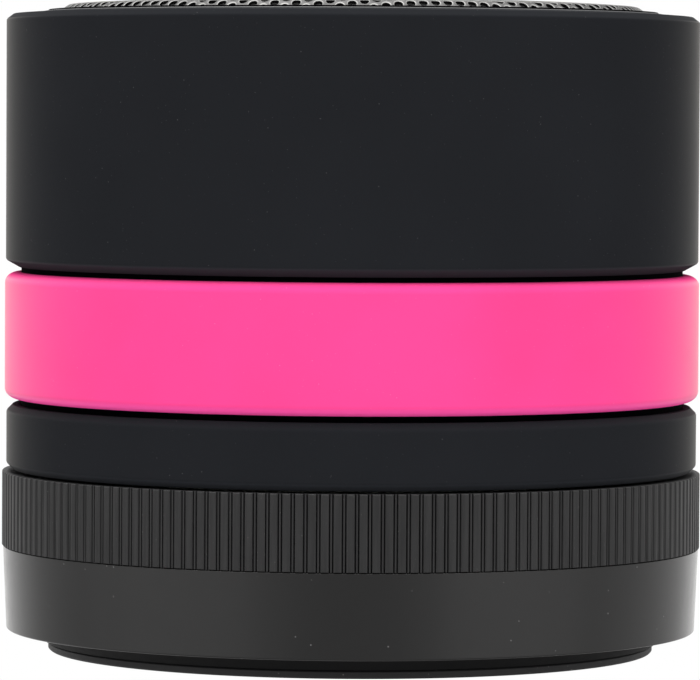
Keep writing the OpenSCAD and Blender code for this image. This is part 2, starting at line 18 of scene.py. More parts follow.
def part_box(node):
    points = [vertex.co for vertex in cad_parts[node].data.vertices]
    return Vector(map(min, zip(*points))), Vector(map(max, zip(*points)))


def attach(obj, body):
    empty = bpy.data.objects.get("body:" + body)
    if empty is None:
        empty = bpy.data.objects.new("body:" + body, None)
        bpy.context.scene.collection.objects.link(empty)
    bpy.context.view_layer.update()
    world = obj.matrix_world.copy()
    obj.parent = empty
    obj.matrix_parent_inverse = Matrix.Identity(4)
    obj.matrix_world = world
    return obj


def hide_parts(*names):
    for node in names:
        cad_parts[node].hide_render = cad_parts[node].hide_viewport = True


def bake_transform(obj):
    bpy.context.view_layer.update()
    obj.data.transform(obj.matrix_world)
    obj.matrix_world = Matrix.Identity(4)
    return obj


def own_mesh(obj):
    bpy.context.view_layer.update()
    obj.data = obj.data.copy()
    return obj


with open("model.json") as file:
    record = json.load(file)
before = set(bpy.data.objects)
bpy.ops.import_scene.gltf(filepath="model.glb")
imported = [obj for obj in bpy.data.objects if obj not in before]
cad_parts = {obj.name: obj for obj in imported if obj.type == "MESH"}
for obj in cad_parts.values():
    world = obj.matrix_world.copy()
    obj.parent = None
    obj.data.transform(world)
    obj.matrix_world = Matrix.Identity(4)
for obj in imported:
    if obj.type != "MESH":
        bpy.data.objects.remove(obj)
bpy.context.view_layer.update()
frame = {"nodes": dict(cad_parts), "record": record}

MM = 0.001


# ---------------------------------------------------------------- sizes from the CAD frame
def cad(node):
    """Low and high corners of a CAD piece."""
    low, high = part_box(node)
    return [c / MM for c in low], [c / MM for c in high]


def extent(node):
    """Outer radius, bottom and top of a round CAD piece."""
    low, high = cad(node)
    return high[0], low[2], high[2]


RING_R, RING_Z0, RING_Z1 = extent("lock_ring")
UPPER_R, UPPER_Z0, upper_top = extent("upper_shell")
UPPER_Z1 = upper_top - 0.25
LOWER_R, LOWER_Z0, LOWER_Z1 = extent("lower_shell")
BAND_R, BAND_Z0, BAND_Z1 = extent("accent_band")
_, SKIRT_Z0, skirt_top = extent("base_skirt")
SKIRT_Z1 = skirt_top - 2.0
PLATE_R, PLATE_Z0, _ = extent("pressure_plate")
PLATE_Z1 = PLATE_Z0 + 1.05
CUP_R = extent("suction_cup")[0]
GRILLE_R, _, GRILLE_Z1 = extent("grille")
LIP_R, LIP_Z0, LIP_Z1 = extent("grille_ring")
CLOTH_R = extent("grille_cloth")[0]
_, FRAME_Z0, FRAME_Z1 = extent("inner_frame")
_, SPRING_Z0, SPRING_Z1 = extent("stud_spring")
DRIVER_Z = extent("driver_basket")[2] - 1.0
_, cover_z0, cover_z1 = extent("port_cover")
PORT_Z = (cover_z0 + cover_z1) / 2
pin_low, pin_high = cad("port_pin")
PIN_X, PIN_Y = [(pin_low[i] + pin_high[i]) / 2 for i in (0, 1)]

RIM_Z = UPPER_Z1 + 0.4  # plane that the grille dome rises from
REBATE_R = RING_R - 1.5  # inner radius of the outer skins
WALL_R = RING_R - 2.6  # inner face of the shell walls
FLOOR_Z = LOWER_Z0 + 1.5  # floor inside the lower shell
LEDGE_Z = UPPER_Z1 - 5.55  # ledge inside the upper shell
BUTTON_Z = (BAND_Z0 + BAND_Z1) / 2
BUTTON_ANGLES = (66, 82, 98, 114)
LIGHT_PIPE_ANGLE, MIC_ANGLE = 55, 125


# ---------------------------------------------------------------- mesh helpers
def mark_smooth(mesh, sharp):
    """Smooth faces, with edges bent by more than `sharp` radians kept crisp."""
    for face in mesh.faces:
        face.smooth = True
    for edge in mesh.edges:
        edge.smooth = not (len(edge.link_faces) == 2 and edge.calc_face_angle(0.0) > sharp)


def finish_mesh(name, mesh, sharp=0.55):
    """Turns a bmesh into a linked object."""
    bmesh.ops.recalc_face_normals(mesh, faces=mesh.faces)
    mark_smooth(mesh, sharp)
    data = bpy.data.meshes.new(name)
    mesh.to_mesh(data)
    mesh.free()
    obj = bpy.data.objects.new(name, data)
    bpy.context.scene.collection.objects.link(obj)
    return obj


def add_faces(mesh, verts, faces):
    made = [mesh.verts.new((x * MM, y * MM, z * MM)) for x, y, z in verts]
    for face in faces:
        mesh.faces.new([made[i] for i in face])


def build(name, verts, faces, sharp=0.55):
    mesh = bmesh.new()
    add_faces(mesh, verts, faces)
    return finish_mesh(name, mesh, sharp)


def join(*parts):
    """Merges (verts, faces) pairs into one."""
    verts, faces = [], []
    for part_verts, part_faces in parts:
        first = len(verts)
        verts += part_verts
        faces += [[i + first for i in face] for face in part_faces]
    return verts, faces


def quads(a, b, count, flip=False):
    """Quads between two closed rings of vertices that start at a and b."""
    faces = [[a + k, a + (k + 1) % count, b + (k + 1) % count, b + k] for k in range(count)]
    return [[f[0], f[3], f[2], f[1]] for f in faces] if flip else faces


def fillet(outline, steps=6, hold=0.05):
    """Rounds a closed outline of (r, z) or (r, z, corner radius) points.

    A point is added just outside each end of an arc to keep the flats flat.
    """
    out = []
    for i, point in enumerate(outline):
        corner = np.array(point[:2], float)
        if len(point) < 3:
            out.append(tuple(corner))
            continue
        before = np.array(outline[i - 1][:2], float) - corner
        after = np.array(outline[(i + 1) % len(outline)][:2], float) - corner
        len_in, len_out = np.linalg.norm(before), np.linalg.norm(after)
        dir_in, dir_out = before / len_in, after / len_out
        angle = math.acos(max(-1, min(1, float(dir_in @ dir_out))))
        cut = min(point[2] / math.tan(angle / 2), 0.45 * len_in, 0.45 * len_out)
        radius = cut * math.tan(angle / 2)
        start, end = corner + dir_in * cut, corner + dir_out * cut
        middle = dir_in + dir_out
        centre = corner + middle / np.linalg.norm(middle) * radius / math.sin(angle / 2)
        w_start = math.atan2(*(start - centre)[::-1])
        w_end = math.atan2(*(end - centre)[::-1])
        turn = (w_end - w_start + math.pi) % (2 * math.pi) - math.pi
        count = max(2, math.ceil(abs(turn) / (math.pi / 2) * steps))
        gap = min(hold, 0.2 * len_in, 0.2 * len_out)
        out.append(tuple(start + dir_in * gap))
        for j in range(count + 1):
            w = w_start + turn * j / count
            out.append((centre[0] + radius * math.cos(w), centre[1] + radius * math.sin(w)))
        out.append(tuple(end + dir_out * gap))
    return out


def turned(profile, segments):
    """Verts and faces of a closed (r, z) profile turned about Z."""
    verts, rows, faces = [], [], []
    for r, z in profile:
        if r < 1e-6:
            rows.append([len(verts)] * segments)
            verts.append((0.0, 0.0, z))
        else:
            rows.append(list(range(len(verts), len(verts) + segments)))
            for k in range(segments):
                w = 2 * math.pi * k / segments
                verts.append((r * math.cos(w), r * math.sin(w), z))
    for a, b in zip(rows, rows[1:] + rows[:1]):
        if a[0] == a[-1] and b[0] == b[-1]:
            continue
        for k in range(segments):
            nxt = (k + 1) % segments
            # a row on the axis is a single vertex, so its quads become triangles
            faces.append(list(dict.fromkeys((a[k], a[nxt], b[nxt], b[k]))))
    return verts, faces


def lathe(name, profile, segments=256, sharp=0.55):
    return build(name, *turned(profile, segments), sharp)


def shifted(part, x=0.0, y=0.0, z=0.0):
    verts, faces = part
    return [(a + x, b + y, c + z) for a, b, c in verts], faces


def tube(x, y, inner, outer, z0, z1, segments=32):
    profile = [(inner, z0), (outer, z0), (outer, z1), (inner, z1)]
    return shifted(turned(profile, segments), x, y)


def bosses(circle_r, first_angle, inner, outer, z0, z1):
    """Four screw bosses evenly spaced on a circle."""
    angles = [math.radians(first_angle + i * 90) for i in range(4)]
    return [tube(circle_r * math.cos(w), circle_r * math.sin(w), inner, outer, z0, z1)
            for w in angles]


def outward(azimuth, depth, side, z):
    """Point at a distance along the azimuth, moved sideways and up."""
    ca, sa = math.cos(math.radians(azimuth)), math.sin(math.radians(azimuth))
    return depth * ca - side * sa, depth * sa + side * ca, z


def prism_cutter(verts):
    """Cutter between two equal loops, listed one after the other."""
    n = len(verts) // 2
    ends = [list(range(n)), list(range(2 * n - 1, n - 1, -1))]
    return build("cutter", verts, quads(0, n, n) + ends)


def radial_cutter(azimuth, radius, segments):
    """A cylinder through the band wall, along the radius at an azimuth."""
    turns = [2 * math.pi * k / segments for k in range(segments)]
    return prism_cutter([
        outward(azimuth, depth, radius * math.cos(w), BUTTON_Z + radius * math.sin(w))
        for depth in (26, 32) for w in turns])


def cut(obj, cutter):
    """Subtracts the cutter and removes it."""
    modifier = obj.modifiers.new("b", "BOOLEAN")
    modifier.operation, modifier.solver, modifier.object = "DIFFERENCE", "EXACT", cutter
    depsgraph = bpy.context.evaluated_depsgraph_get()
    data = bpy.data.meshes.new_from_object(obj.evaluated_get(depsgraph))
    obj.modifiers.clear()
    obj.data = data
    bpy.data.objects.remove(cutter)


def clean_cut(obj):
    """Merges and reshades a mesh after its cuts."""
    mesh = bmesh.new()
    mesh.from_mesh(obj.data)
    bmesh.ops.remove_doubles(mesh, verts=mesh.verts, dist=1e-7)
    mark_smooth(mesh, 0.55)
    mesh.to_mesh(obj.data)
    mesh.free()


# ---------------------------------------------------------------- shader graph helpers
class Graph:
    """Short calls for building a node graph. A value is a number, a tuple or a socket."""

    def __init__(self, tree):
        self.tree = tree
        tree.nodes.clear()

    def node(self, kind):
        return self.tree.nodes.new("ShaderNode" + kind)

    def link(self, source, target):
        self.tree.links.new(source, target)

    def feed(self, node, inputs):
        """Sets or links inputs, given as {socket name or index: value}."""
        for key, value in inputs.items():
            socket = node.inputs[key]
            if isinstance(value, bpy.types.NodeSocket):
                self.link(value, socket)
            elif socket.type == "RGBA":
                socket.default_value = (*value, 1)
            else:
                socket.default_value = value

    def coords(self):
        return self.node("TexCoord").outputs["Object"]

    def stretch(self, vector, scale):
        node = self.node("Mapping")
        self.feed(node, {"Scale": scale, "Vector": vector})
        return node.outputs["Vector"]

    def noise(self, vector, scale, detail=2.0, rough=0.5):
        node = self.node("TexNoise")
        self.feed(node, {"Scale": scale, "Detail": detail, "Roughness": rough, "Vector": vector})
        return node.outputs["Fac"]

    def math(self, operation, *values, clamp=False):
        node = self.node("Math")
        node.operation = operation
        node.use_clamp = clamp
        self.feed(node, dict(enumerate(values)))
        return node.outputs[0]

    def remap(self, value, span, to=(0, 1), smooth=False):
        node = self.node("MapRange")
        node.interpolation_type = "SMOOTHSTEP" if smooth else "LINEAR"
        self.feed(node, {"From Min": span[0], "From Max": span[1],
                         "To Min": to[0], "To Max": to[1], "Value": value})
        return node.outputs["Result"]

    def mix(self, factor, a, b):
        """Mixes two colours: sockets 6, 7 and output 2 of the node are its colour ones."""
        node = self.node("Mix")
        node.data_type = "RGBA"
        self.feed(node, {6: a, 7: b, 0: factor})
        return node.outputs[2]

    def mix_shader(self, factor, a, b):
        node = self.node("MixShader")
        self.feed(node, {0: factor, 1: a.outputs[0], 2: b.outputs[0]})
        return node

    def bump(self, height, strength, distance, normal=None):
        node = self.node("Bump")
        self.feed(node, {"Strength": strength, "Distance": distance, "Height": height})
        if normal is not None:
            self.link(normal, node.inputs["Normal"])
        return node.outputs["Normal"]


def new_material(name):
    material = bpy.data.materials.new(name)
    material.use_nodes = True
    graph = Graph(material.node_tree)
    return material, graph, graph.node("OutputMaterial")


def principled(name):
    material, graph, output = new_material(name)
    bsdf = graph.node("BsdfPrincipled")
    graph.link(bsdf.outputs["BSDF"], output.inputs["Surface"])
    return material, graph, bsdf, graph.coords()


def scaled(colour, factor):
    return tuple(min(1, c * factor) for c in colour)


def blotches(graph, noise, dark, light):
    return graph.mix(graph.remap(noise, span=(0.35, 0.65)), dark, light)


def mottled(graph, noise, base, vary):
    return blotches(graph, noise, scaled(base, 1 - vary), scaled(base, 1 + vary))


def dust(graph, coords, scale, share, size):
    """Sparse specks: a share of the cells of a 3D pattern each hold a small ball."""
    cells = graph.node("TexVoronoi")
    graph.feed(cells, {"Scale": scale, "Vector": coords})
    pick = graph.node("SeparateColor")
    graph.link(cells.outputs["Color"], pick.inputs["Color"])
    lit = graph.math("GREATER_THAN", pick.outputs[0], 1 - share)
    near = graph.remap(cells.outputs["Distance"], span=(size * 0.6, size), to=(1, 0), smooth=True)
    return graph.math("MULTIPLY", lit, near)


# ---------------------------------------------------------------- material recipes
def painted_edge_light(graph, colour, base, sheen_colour, amount, power, under):
    """Paints light into the coating's colour: a painted sheen on the walls at grazing angles, and
    painted light from below, which makes its turned-in lower edges lighter by the factor `under`."""
    normal = graph.node("SeparateXYZ")
    graph.link(graph.node("NewGeometry").outputs["True Normal"], normal.inputs[0])
    up = normal.outputs[2]
    wall = graph.remap(graph.math("ABSOLUTE", up), span=(0.45, 0.9), to=(1, 0), smooth=True)
    facing = graph.node("LayerWeight").outputs["Facing"]
    # painted sheen: walls seen at grazing angles are mixed towards a pale colour
    painted_sheen = graph.math("MULTIPLY", wall, graph.math("POWER", facing, power))
    # painted light from below: faces turned downwards are made lighter by the factor under
    painted_underlight = graph.remap(up, span=(-0.15, -0.7), smooth=True)
    colour = graph.mix(painted_underlight, colour, scaled(base, under))
    return graph.mix(graph.math("MULTIPLY", painted_sheen, amount, clamp=True), colour, sheen_colour)


def soft_touch(name, base, speck, rough, level, dusting, edge=None):
    material, graph, bsdf, coords = principled(name)
    blot = graph.noise(coords, scale=55, detail=3)
    fine = graph.noise(coords, scale=2600, rough=0.6)
    colour = mottled(graph, blot, base, vary=0.06)
    large = dust(graph, coords, scale=1900, share=0.07, size=0.095)
    small = dust(graph, coords, scale=3100, share=0.16, size=0.12)
    small = graph.math("MULTIPLY", small, 0.6)
    specks = graph.math("MULTIPLY", graph.math("ADD", large, small, clamp=True), dusting)
    colour = graph.mix(specks, colour, speck)
    # paints a sheen at grazing angles and light from below into the colour
    if edge:
        colour = painted_edge_light(graph, colour, base, **edge)
    half_blot, half_fine = [graph.math("MULTIPLY", noise, 0.5) for noise in (blot, fine)]
    wear = graph.math("ADD", half_blot, half_fine)
    relief = graph.bump(specks, strength=0.4, distance=0.00004)
    graph.feed(bsdf, {
        "Base Color": colour,
        "Roughness": graph.remap(wear, span=(0.3, 0.7), to=(rough - 0.05, rough + 0.06)),
        "Specular IOR Level": level,
        "Sheen Roughness": 0.35,
        "Normal": graph.bump(fine, strength=0.25, distance=0.00003, normal=relief)})
    return material


def plastic(name, base, rough=0.4, level=0.5, grain=1800, strength=0.25, depth=0.00002,
            coat=0.0, vary=0.05, dusting=0.0):
    material, graph, bsdf, coords = principled(name)
    blot = graph.noise(coords, scale=70)
    fine = graph.noise(coords, scale=grain, rough=0.6)
    colour = mottled(graph, blot, base, vary)
    if dusting:
        specks = dust(graph, coords, scale=1600, share=0.08, size=0.13)
        colour = graph.mix(graph.math("MULTIPLY", specks, dusting), colour, (0.3, 0.3, 0.3))
    polish = (max(0.02, rough - 0.04), rough + 0.04)
    graph.feed(bsdf, {
        "Base Color": colour,
        "Roughness": graph.remap(fine, span=(0.3, 0.7), to=polish),
        "Specular IOR Level": level,
        "Coat Weight": coat,
        "Coat Roughness": 0.05,
        "Normal": graph.bump(fine, strength=strength, distance=depth)})
    return material


def metal(name, base, rough=0.35, brush=(900, 900, 60), vary=0.06):
    material, graph, bsdf, coords = principled(name)
    streak = graph.noise(graph.stretch(coords, brush), scale=1.0, detail=3, rough=0.6)
    blot = graph.noise(coords, scale=120)
    graph.feed(bsdf, {
        "Base Color": mottled(graph, blot, base, vary),
        "Metallic": 1.0,
        "Roughness": graph.remap(streak, span=(0.25, 0.75), to=(rough - 0.08, rough + 0.1)),
        "Normal": graph.bump(streak, strength=0.2, distance=0.00001)})
    return material


def woven(name, gap, thread, pitch):
    """Plain weave across X and Y; pitch in metres."""
    material, graph, bsdf, coords = principled(name)
    axes = graph.node("SeparateXYZ")
    graph.link(coords, axes.inputs[0])
    wave_x, wave_y = [
        graph.math("SINE", graph.math("MULTIPLY", axes.outputs[i], 2 * math.pi / pitch))
        for i in (0, 1)]
    over = graph.math("MULTIPLY", wave_x, wave_y)
    ridge = graph.math("MAXIMUM", graph.math("ABSOLUTE", wave_x),
                       graph.math("ABSOLUTE", wave_y))
    height = graph.math("ADD", ridge, graph.math("MULTIPLY", over, 0.5))
    graph.feed(bsdf, {
        "Base Color": graph.mix(graph.remap(ridge, span=(0.6, 1.0)), gap, thread),
        "Roughness": 0.9,
        "Sheen Weight": 0.2,
        "Normal": graph.bump(height, strength=0.6, distance=0.00005)})
    return material


def knurled(name):
    """Black plastic with upright streaks and pale dust."""
    material, graph, bsdf, coords = principled(name)
    upright = graph.stretch(coords, (3200, 3200, 120))
    streak = graph.noise(upright, scale=1.0, detail=3, rough=0.65)
    fine = graph.noise(coords, scale=2400, rough=0.6)
    colour = graph.mix(graph.remap(streak, span=(0.3, 0.7)),
                       (0.0112, 0.0113, 0.0119), (0.0222, 0.0222, 0.0228))
    specks = graph.math("ADD", dust(graph, coords, scale=2300, share=0.08, size=0.10),
                        dust(graph, coords, scale=3600, share=0.10, size=0.11), clamp=True)
    relief = graph.bump(streak, strength=0.35, distance=0.00004)
    graph.feed(bsdf, {
        "Base Color": graph.mix(graph.math("MULTIPLY", specks, 0.45), colour,
                                (0.20, 0.20, 0.19)),
        "Roughness": graph.remap(streak, span=(0.3, 0.7), to=(0.56, 0.42)),
        "Specular IOR Level": 0.35,
        "Normal": graph.bump(fine, strength=0.3, distance=0.00002, normal=relief)})
    return material


def marked_button(name):
    """Pink plastic, paler where the mesh attribute `ink` is high."""
    material, graph, bsdf, coords = principled(name)
    fine = graph.noise(coords, scale=2600, rough=0.6)
    blot = graph.noise(coords, scale=80)
    colour = blotches(graph, blot, (0.83, 0.045, 0.225), (0.90, 0.052, 0.255))
    ink = graph.node("Attribute")
    ink.attribute_name = "ink"
    inked = graph.remap(ink.outputs["Fac"], span=(0.25, 0.75))
    graph.feed(bsdf, {
        "Base Color": graph.mix(inked, colour, (0.95, 0.62, 0.74)),
        "Roughness": graph.remap(fine, span=(0.3, 0.7), to=(0.44, 0.54)),
        "Specular IOR Level": 0.35,
        "Normal": graph.bump(fine, strength=0.25, distance=0.00002)})
    return material


# ---------------------------------------------------------------- materials by slot
MATERIALS = {
    # The edge settings paint a sheen at grazing angles and painted light from below on downward
    # edges.
    "case_black": soft_touch(
        "soft_touch_black", base=(0.0132, 0.0143, 0.0168), speck=(0.12, 0.12, 0.12),
        rough=0.85, level=0.03, dusting=0.6,
        edge=dict(sheen_colour=(0.80, 0.78, 0.74), amount=0.285, power=6.8, under=1.9)),
    "accent_pink": soft_touch(
        "soft_touch_pink", base=(0.905, 0.0600, 0.273), speck=(0.98, 0.42, 0.60),
        rough=0.85, level=0.06, dusting=0.35,
        edge=dict(sheen_colour=(0.95, 0.72, 0.66), amount=0.55, power=4.1, under=1.45)),
    "skirt_black": plastic("gloss_black", base=(0.0050, 0.0050, 0.0052), rough=0.14, grain=700,
                           strength=0.10, depth=0.00001, vary=0.1, dusting=0.4),
    "knurl_black": knurled("knurl_black"),
    "black_plastic": plastic("moulded_black", base=(0.0050, 0.0051, 0.0055),
                             rough=0.6, level=0.10),
    "grille_silver": metal("anodised_grille", base=(0.105, 0.105, 0.104), rough=0.42,
                           brush=(1500, 1500, 1500)),
    "ring_grey": plastic("lip_grey", base=(0.03, 0.031, 0.033), rough=0.34),
    "grille_cloth": woven("dust_cloth", gap=(0.0015, 0.0015, 0.0016),
                          thread=(0.014, 0.014, 0.015), pitch=0.00028),
    "cup_rubber": soft_touch("cup_rubber", base=(0.014, 0.014, 0.015),
                             speck=(0.35, 0.34, 0.32), rough=0.55, level=0.35, dusting=1.0),
    "seal_rubber": soft_touch("seal_rubber", base=(0.012, 0.012, 0.013),
                              speck=(0.1, 0.1, 0.1), rough=0.6, level=0.3, dusting=0.3),
    "white_plastic": plastic("natural_plastic", base=(0.62, 0.62, 0.57), rough=0.45, level=0.4),
    "steel": metal("zinc_steel", base=(0.56, 0.57, 0.59), rough=0.32),
    "magnet_dark": plastic("ferrite", base=(0.03, 0.03, 0.033), rough=0.55, grain=900,
                           strength=0.5, depth=0.00005, vary=0.2),
    "copper": metal("copper_winding", base=(0.75, 0.30, 0.14), rough=0.3,
                    brush=(200, 200, 9000)),
    "former_amber": plastic("film_amber", base=(0.45, 0.24, 0.05), rough=0.25, coat=0.4),
    "cone_paper": plastic("pressed_pulp", base=(0.016, 0.015, 0.015), rough=0.85, level=0.3,
                          grain=1200, strength=0.8, depth=0.00008, vary=0.25),
    "spider_cloth": woven("spider_cloth", gap=(0.30, 0.18, 0.05), thread=(0.55, 0.38, 0.14),
                          pitch=0.0005),
    "foam": plastic("foam", base=(0.03, 0.03, 0.031), rough=0.95, level=0.2, grain=1500,
                    strength=1.0, depth=0.0001, vary=0.3),
    "board_green": plastic("solder_mask", base=(0.012, 0.11, 0.045), rough=0.25, grain=500,
                           strength=0.2, depth=0.00001, coat=0.5, vary=0.15),
    "chip_black": plastic("chip_black", base=(0.012, 0.012, 0.013), rough=0.5, level=0.4),
    "battery_foil": metal("pouch_foil", base=(0.55, 0.60, 0.68), rough=0.3,
                          brush=(400, 400, 400), vary=0.1),
    "wire_red": plastic("wire_red", base=(0.42, 0.012, 0.012), rough=0.35),
    "wire_black": plastic("wire_black", base=(0.012, 0.012, 0.014), rough=0.35),
    "flex_amber": plastic("flex_amber", base=(0.42, 0.19, 0.02), rough=0.28, coat=0.3,
                          vary=0.12),
    "terminal_brown": plastic("phenolic", base=(0.16, 0.06, 0.02), rough=0.55, level=0.4,
                              grain=900, strength=0.4, vary=0.2),
    "lens_clear": plastic("light_pipe", base=(0.75, 0.85, 0.92), rough=0.12, level=0.6,
                          grain=300, strength=0.05, vary=0.02),
    "button_pink": marked_button("button_pink"),
}
# near-black painted shade, for the floor of the grooves and the gap round the grille
GROOVE_SHADE = plastic("painted_groove_shade", base=(0.0003, 0.0004, 0.0009), rough=0.9, level=0.02)
# painted highlight: a lighter metal on the bevels round the holes
HOLE_HIGHLIGHT = metal("grille_hole_painted_highlight", base=(0.24, 0.24, 0.235), rough=0.38,
                  brush=(1500, 1500, 1500))
# painted shade: near-black walls inside the holes of the metal sheet
HOLE_SHADE = plastic("grille_hole_painted_shade", base=(0.0015, 0.0015, 0.0016), rough=0.8, level=0.05)
SLOT = {s["node"]: s["material_slot"] for s in frame["record"]["subparts"]}

# The frame tube is the floor of the grooves between the shells, so it gets a near-black that is
# painted shade of the grooves.
for node_name, node_obj in frame["nodes"].items():
    node_material = GROOVE_SHADE if node_name == "inner_frame" else MATERIALS[SLOT[node_name]]
    if not node_obj.material_slots:
        node_obj.data.materials.append(node_material)
    for material_slot in node_obj.material_slots:
        material_slot.material = node_material


def dress(obj, slot):
    obj.data.materials.clear()  # a boolean can leave an empty slot
    obj.data.materials.append(MATERIALS[slot])


def stand_in(obj, node, body="speaker_body", slot=None):
    """Puts a finished piece in the place of a CAD piece, moving with a body."""
    dress(obj, slot or SLOT[node])
    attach(obj, body)
    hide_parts(node)


# ---------------------------------------------------------------- upper shell
profile = fillet([
    (REBATE_R, UPPER_Z0), (UPPER_R - 1.15, UPPER_Z0, 0.05), (UPPER_R, UPPER_Z0 + 0.64, 0.34),
    (UPPER_R, UPPER_Z1 - 0.36, 0.25), (UPPER_R - 0.6, UPPER_Z1 + 0.10, 0.2),
    (RING_R - 3.2, UPPER_Z1 + 0.27, 0.08), (RING_R - 3.2, UPPER_Z1 - 1.95),
    (RING_R - 4.1, UPPER_Z1 - 1.95), (RING_R - 4.1, UPPER_Z1 - 2.95),
    (WALL_R, UPPER_Z1 - 3.75), (WALL_R, LEDGE_Z), (21.9, LEDGE_Z), (21.9, LEDGE_Z - 2),
    (WALL_R, LEDGE_Z - 2), (WALL_R, FRAME_Z1 + 0.1), (REBATE_R, FRAME_Z1 + 0.1)])
upper = join(turned(profile, 320),
             *bosses(RING_R - 5.6, 0, 1.0, 2.2, FRAME_Z1 + 0.05, LEDGE_Z - 1))
stand_in(build("upper_shell_skin", *upper), "upper_shell")

# ---------------------------------------------------------------- accent band
# Each edge of the band is a quarter ellipse.
EDGE_R, EDGE_Z = 1.12, 0.88
profile = [(REBATE_R, BAND_Z0)]
for k in range(15):
    w = math.pi / 2 * k / 14
    profile.append((BAND_R - EDGE_R + EDGE_R * math.sin(w),
                    BAND_Z0 + EDGE_Z - EDGE_Z * math.cos(w)))
profile.append((BAND_R, BAND_Z0 + 0.95))
profile += [(r, BAND_Z0 + BAND_Z1 - z) for r, z in reversed(profile)]
band = lathe("accent_band_skin", profile, 360)
for azimuth in BUTTON_ANGLES:
    cut(band, radial_cutter(azimuth, 3.12, 64))
cut(band, radial_cutter(LIGHT_PIPE_ANGLE, 0.85, 32))
cut(band, radial_cutter(MIC_ANGLE, 0.5, 32))
clean_cut(band)
stand_in(band, "accent_band")

# ---------------------------------------------------------------- lower shell
profile = fillet([
    (0, LOWER_Z0), (LOWER_R - 0.55, LOWER_Z0, 0.15), (LOWER_R, LOWER_Z0 + 0.55, 0.35),
    (LOWER_R, LOWER_Z1 - 0.55, 0.35), (LOWER_R - 0.55, LOWER_Z1, 0.12),
    (REBATE_R, LOWER_Z1, 0.1), (REBATE_R, FRAME_Z0 - 0.05), (WALL_R, FRAME_Z0 - 0.05),
    (WALL_R, FLOOR_Z), (0, FLOOR_Z)])
lower = lathe("lower_shell_skin", profile, 320)
# port opening: a box through the back wall
box = [(x, y, z) for x in (-4.2, 4.2) for y in (24, 32) for z in (PORT_Z - 1.45, PORT_Z + 1.45)]
box_faces = [[0, 1, 3, 2], [4, 6, 7, 5], [0, 4, 5, 1], [2, 3, 7, 6], [0, 2, 6, 4], [1, 5, 7, 3]]
cut(lower, build("cutter", box, box_faces))
# pocket for the port cover: a curved slab with the width of the cover
COVER_Z0, COVER_Z1 = PORT_Z - 2.15, PORT_Z + 2.15
slab_x = [PIN_X + 10.7 * k / 32 for k in range(33)]
slab_loop = [(x, math.sqrt(REBATE_R ** 2 - x * x)) for x in slab_x]
slab_loop += [(x, 31.5) for x in reversed(slab_x)]
cut(lower, prism_cutter([(x, y, z) for z in (COVER_Z0, COVER_Z1) for x, y in slab_loop]))
# room for the rounded upright at the cover's pin
cut(lower, build("cutter", *tube(PIN_X, PIN_Y, 0, 0.75, COVER_Z0, COVER_Z1, 40)))
# round notch at the free end of the cover
NOTCH_R = 0.9
arc = [(NOTCH_R * math.cos(w), NOTCH_R * math.sin(w)) for w in np.linspace(-1.4, 1.4, 16)]
ball = turned([(0, -NOTCH_R)] + arc + [(0, NOTCH_R)], 32)
cut(lower, build("cutter", *shifted(ball, 5.7, LOWER_R - 0.4, PORT_Z)))
clean_cut(lower)
stand_in(lower, "lower_shell")

# ---------------------------------------------------------------- knurled locking ring
RIBS = 180
RIB_PITCH = 2 * math.pi * RING_R / RIBS
# half a rib from mid groove to crest: distance round the ring, height over RING_R
half_rib = [
    (0.0, -0.05), (0.06, -0.055), (0.09, -0.10), (0.105, -0.28), (0.13, -0.34), (0.155, -0.30),
    (0.17, -0.14), (0.19, -0.06), (0.22, -0.025), (0.27, -0.006), (0.34, 0.0)]
rib = half_rib + [(RIB_PITCH - along, h) for along, h in reversed(half_rib[1:])]
columns = [((k - 0.5) * RIB_PITCH + along, h) for k in range(RIBS) for along, h in rib]


def ring_limit(z):
    """Largest radius at a height: the ends are rounded, the upper one more."""
    end = min(z - RING_Z0, RING_Z1 - z)
    radius = 0.10 if z > (RING_Z0 + RING_Z1) / 2 else 0.05
    if end >= radius:
        return RING_R
    return RING_R - radius + math.sqrt(max(0.0, radius ** 2 - (radius - end) ** 2))


levels = [RING_Z0 + d for d in (0.0, 0.008, 0.02, 0.035, 0.05, 0.10)]
levels += [RING_Z1 - d for d in (0.14, 0.10, 0.06, 0.03, 0.012, 0.0)]
loops = []
for z in levels:
    limit = ring_limit(z)
    loops.append((z, [min(RING_R + h, limit) for _, h in columns]))
for r, z in ((RING_R - 0.75, RING_Z1), (RING_R - 0.9, RING_Z1 - 0.06),
             (RING_R - 3, RING_Z1 - 0.06), (RING_R - 3, RING_Z0), (RING_R - 0.75, RING_Z0)):
    loops.append((z, [r] * len(columns)))
verts, faces = [], []
for i, (z, radii) in enumerate(loops):
    for (along, _), r in zip(columns, radii):
        verts.append((r * math.cos(along / RING_R), r * math.sin(along / RING_R), z))
    following = (i + 1) % len(loops)
    faces += quads(i * len(columns), following * len(columns), len(columns))
web_z0, web_z1 = RING_Z1 - 1.81, RING_Z1 - 0.41
web = tube(0, 0, 9.2, RING_R - 2.9, web_z0, web_z1, 128)
stand_in(build("lock_ring_knurl", *join((verts, faces), web), 0.9), "lock_ring",
         "locking_collar")

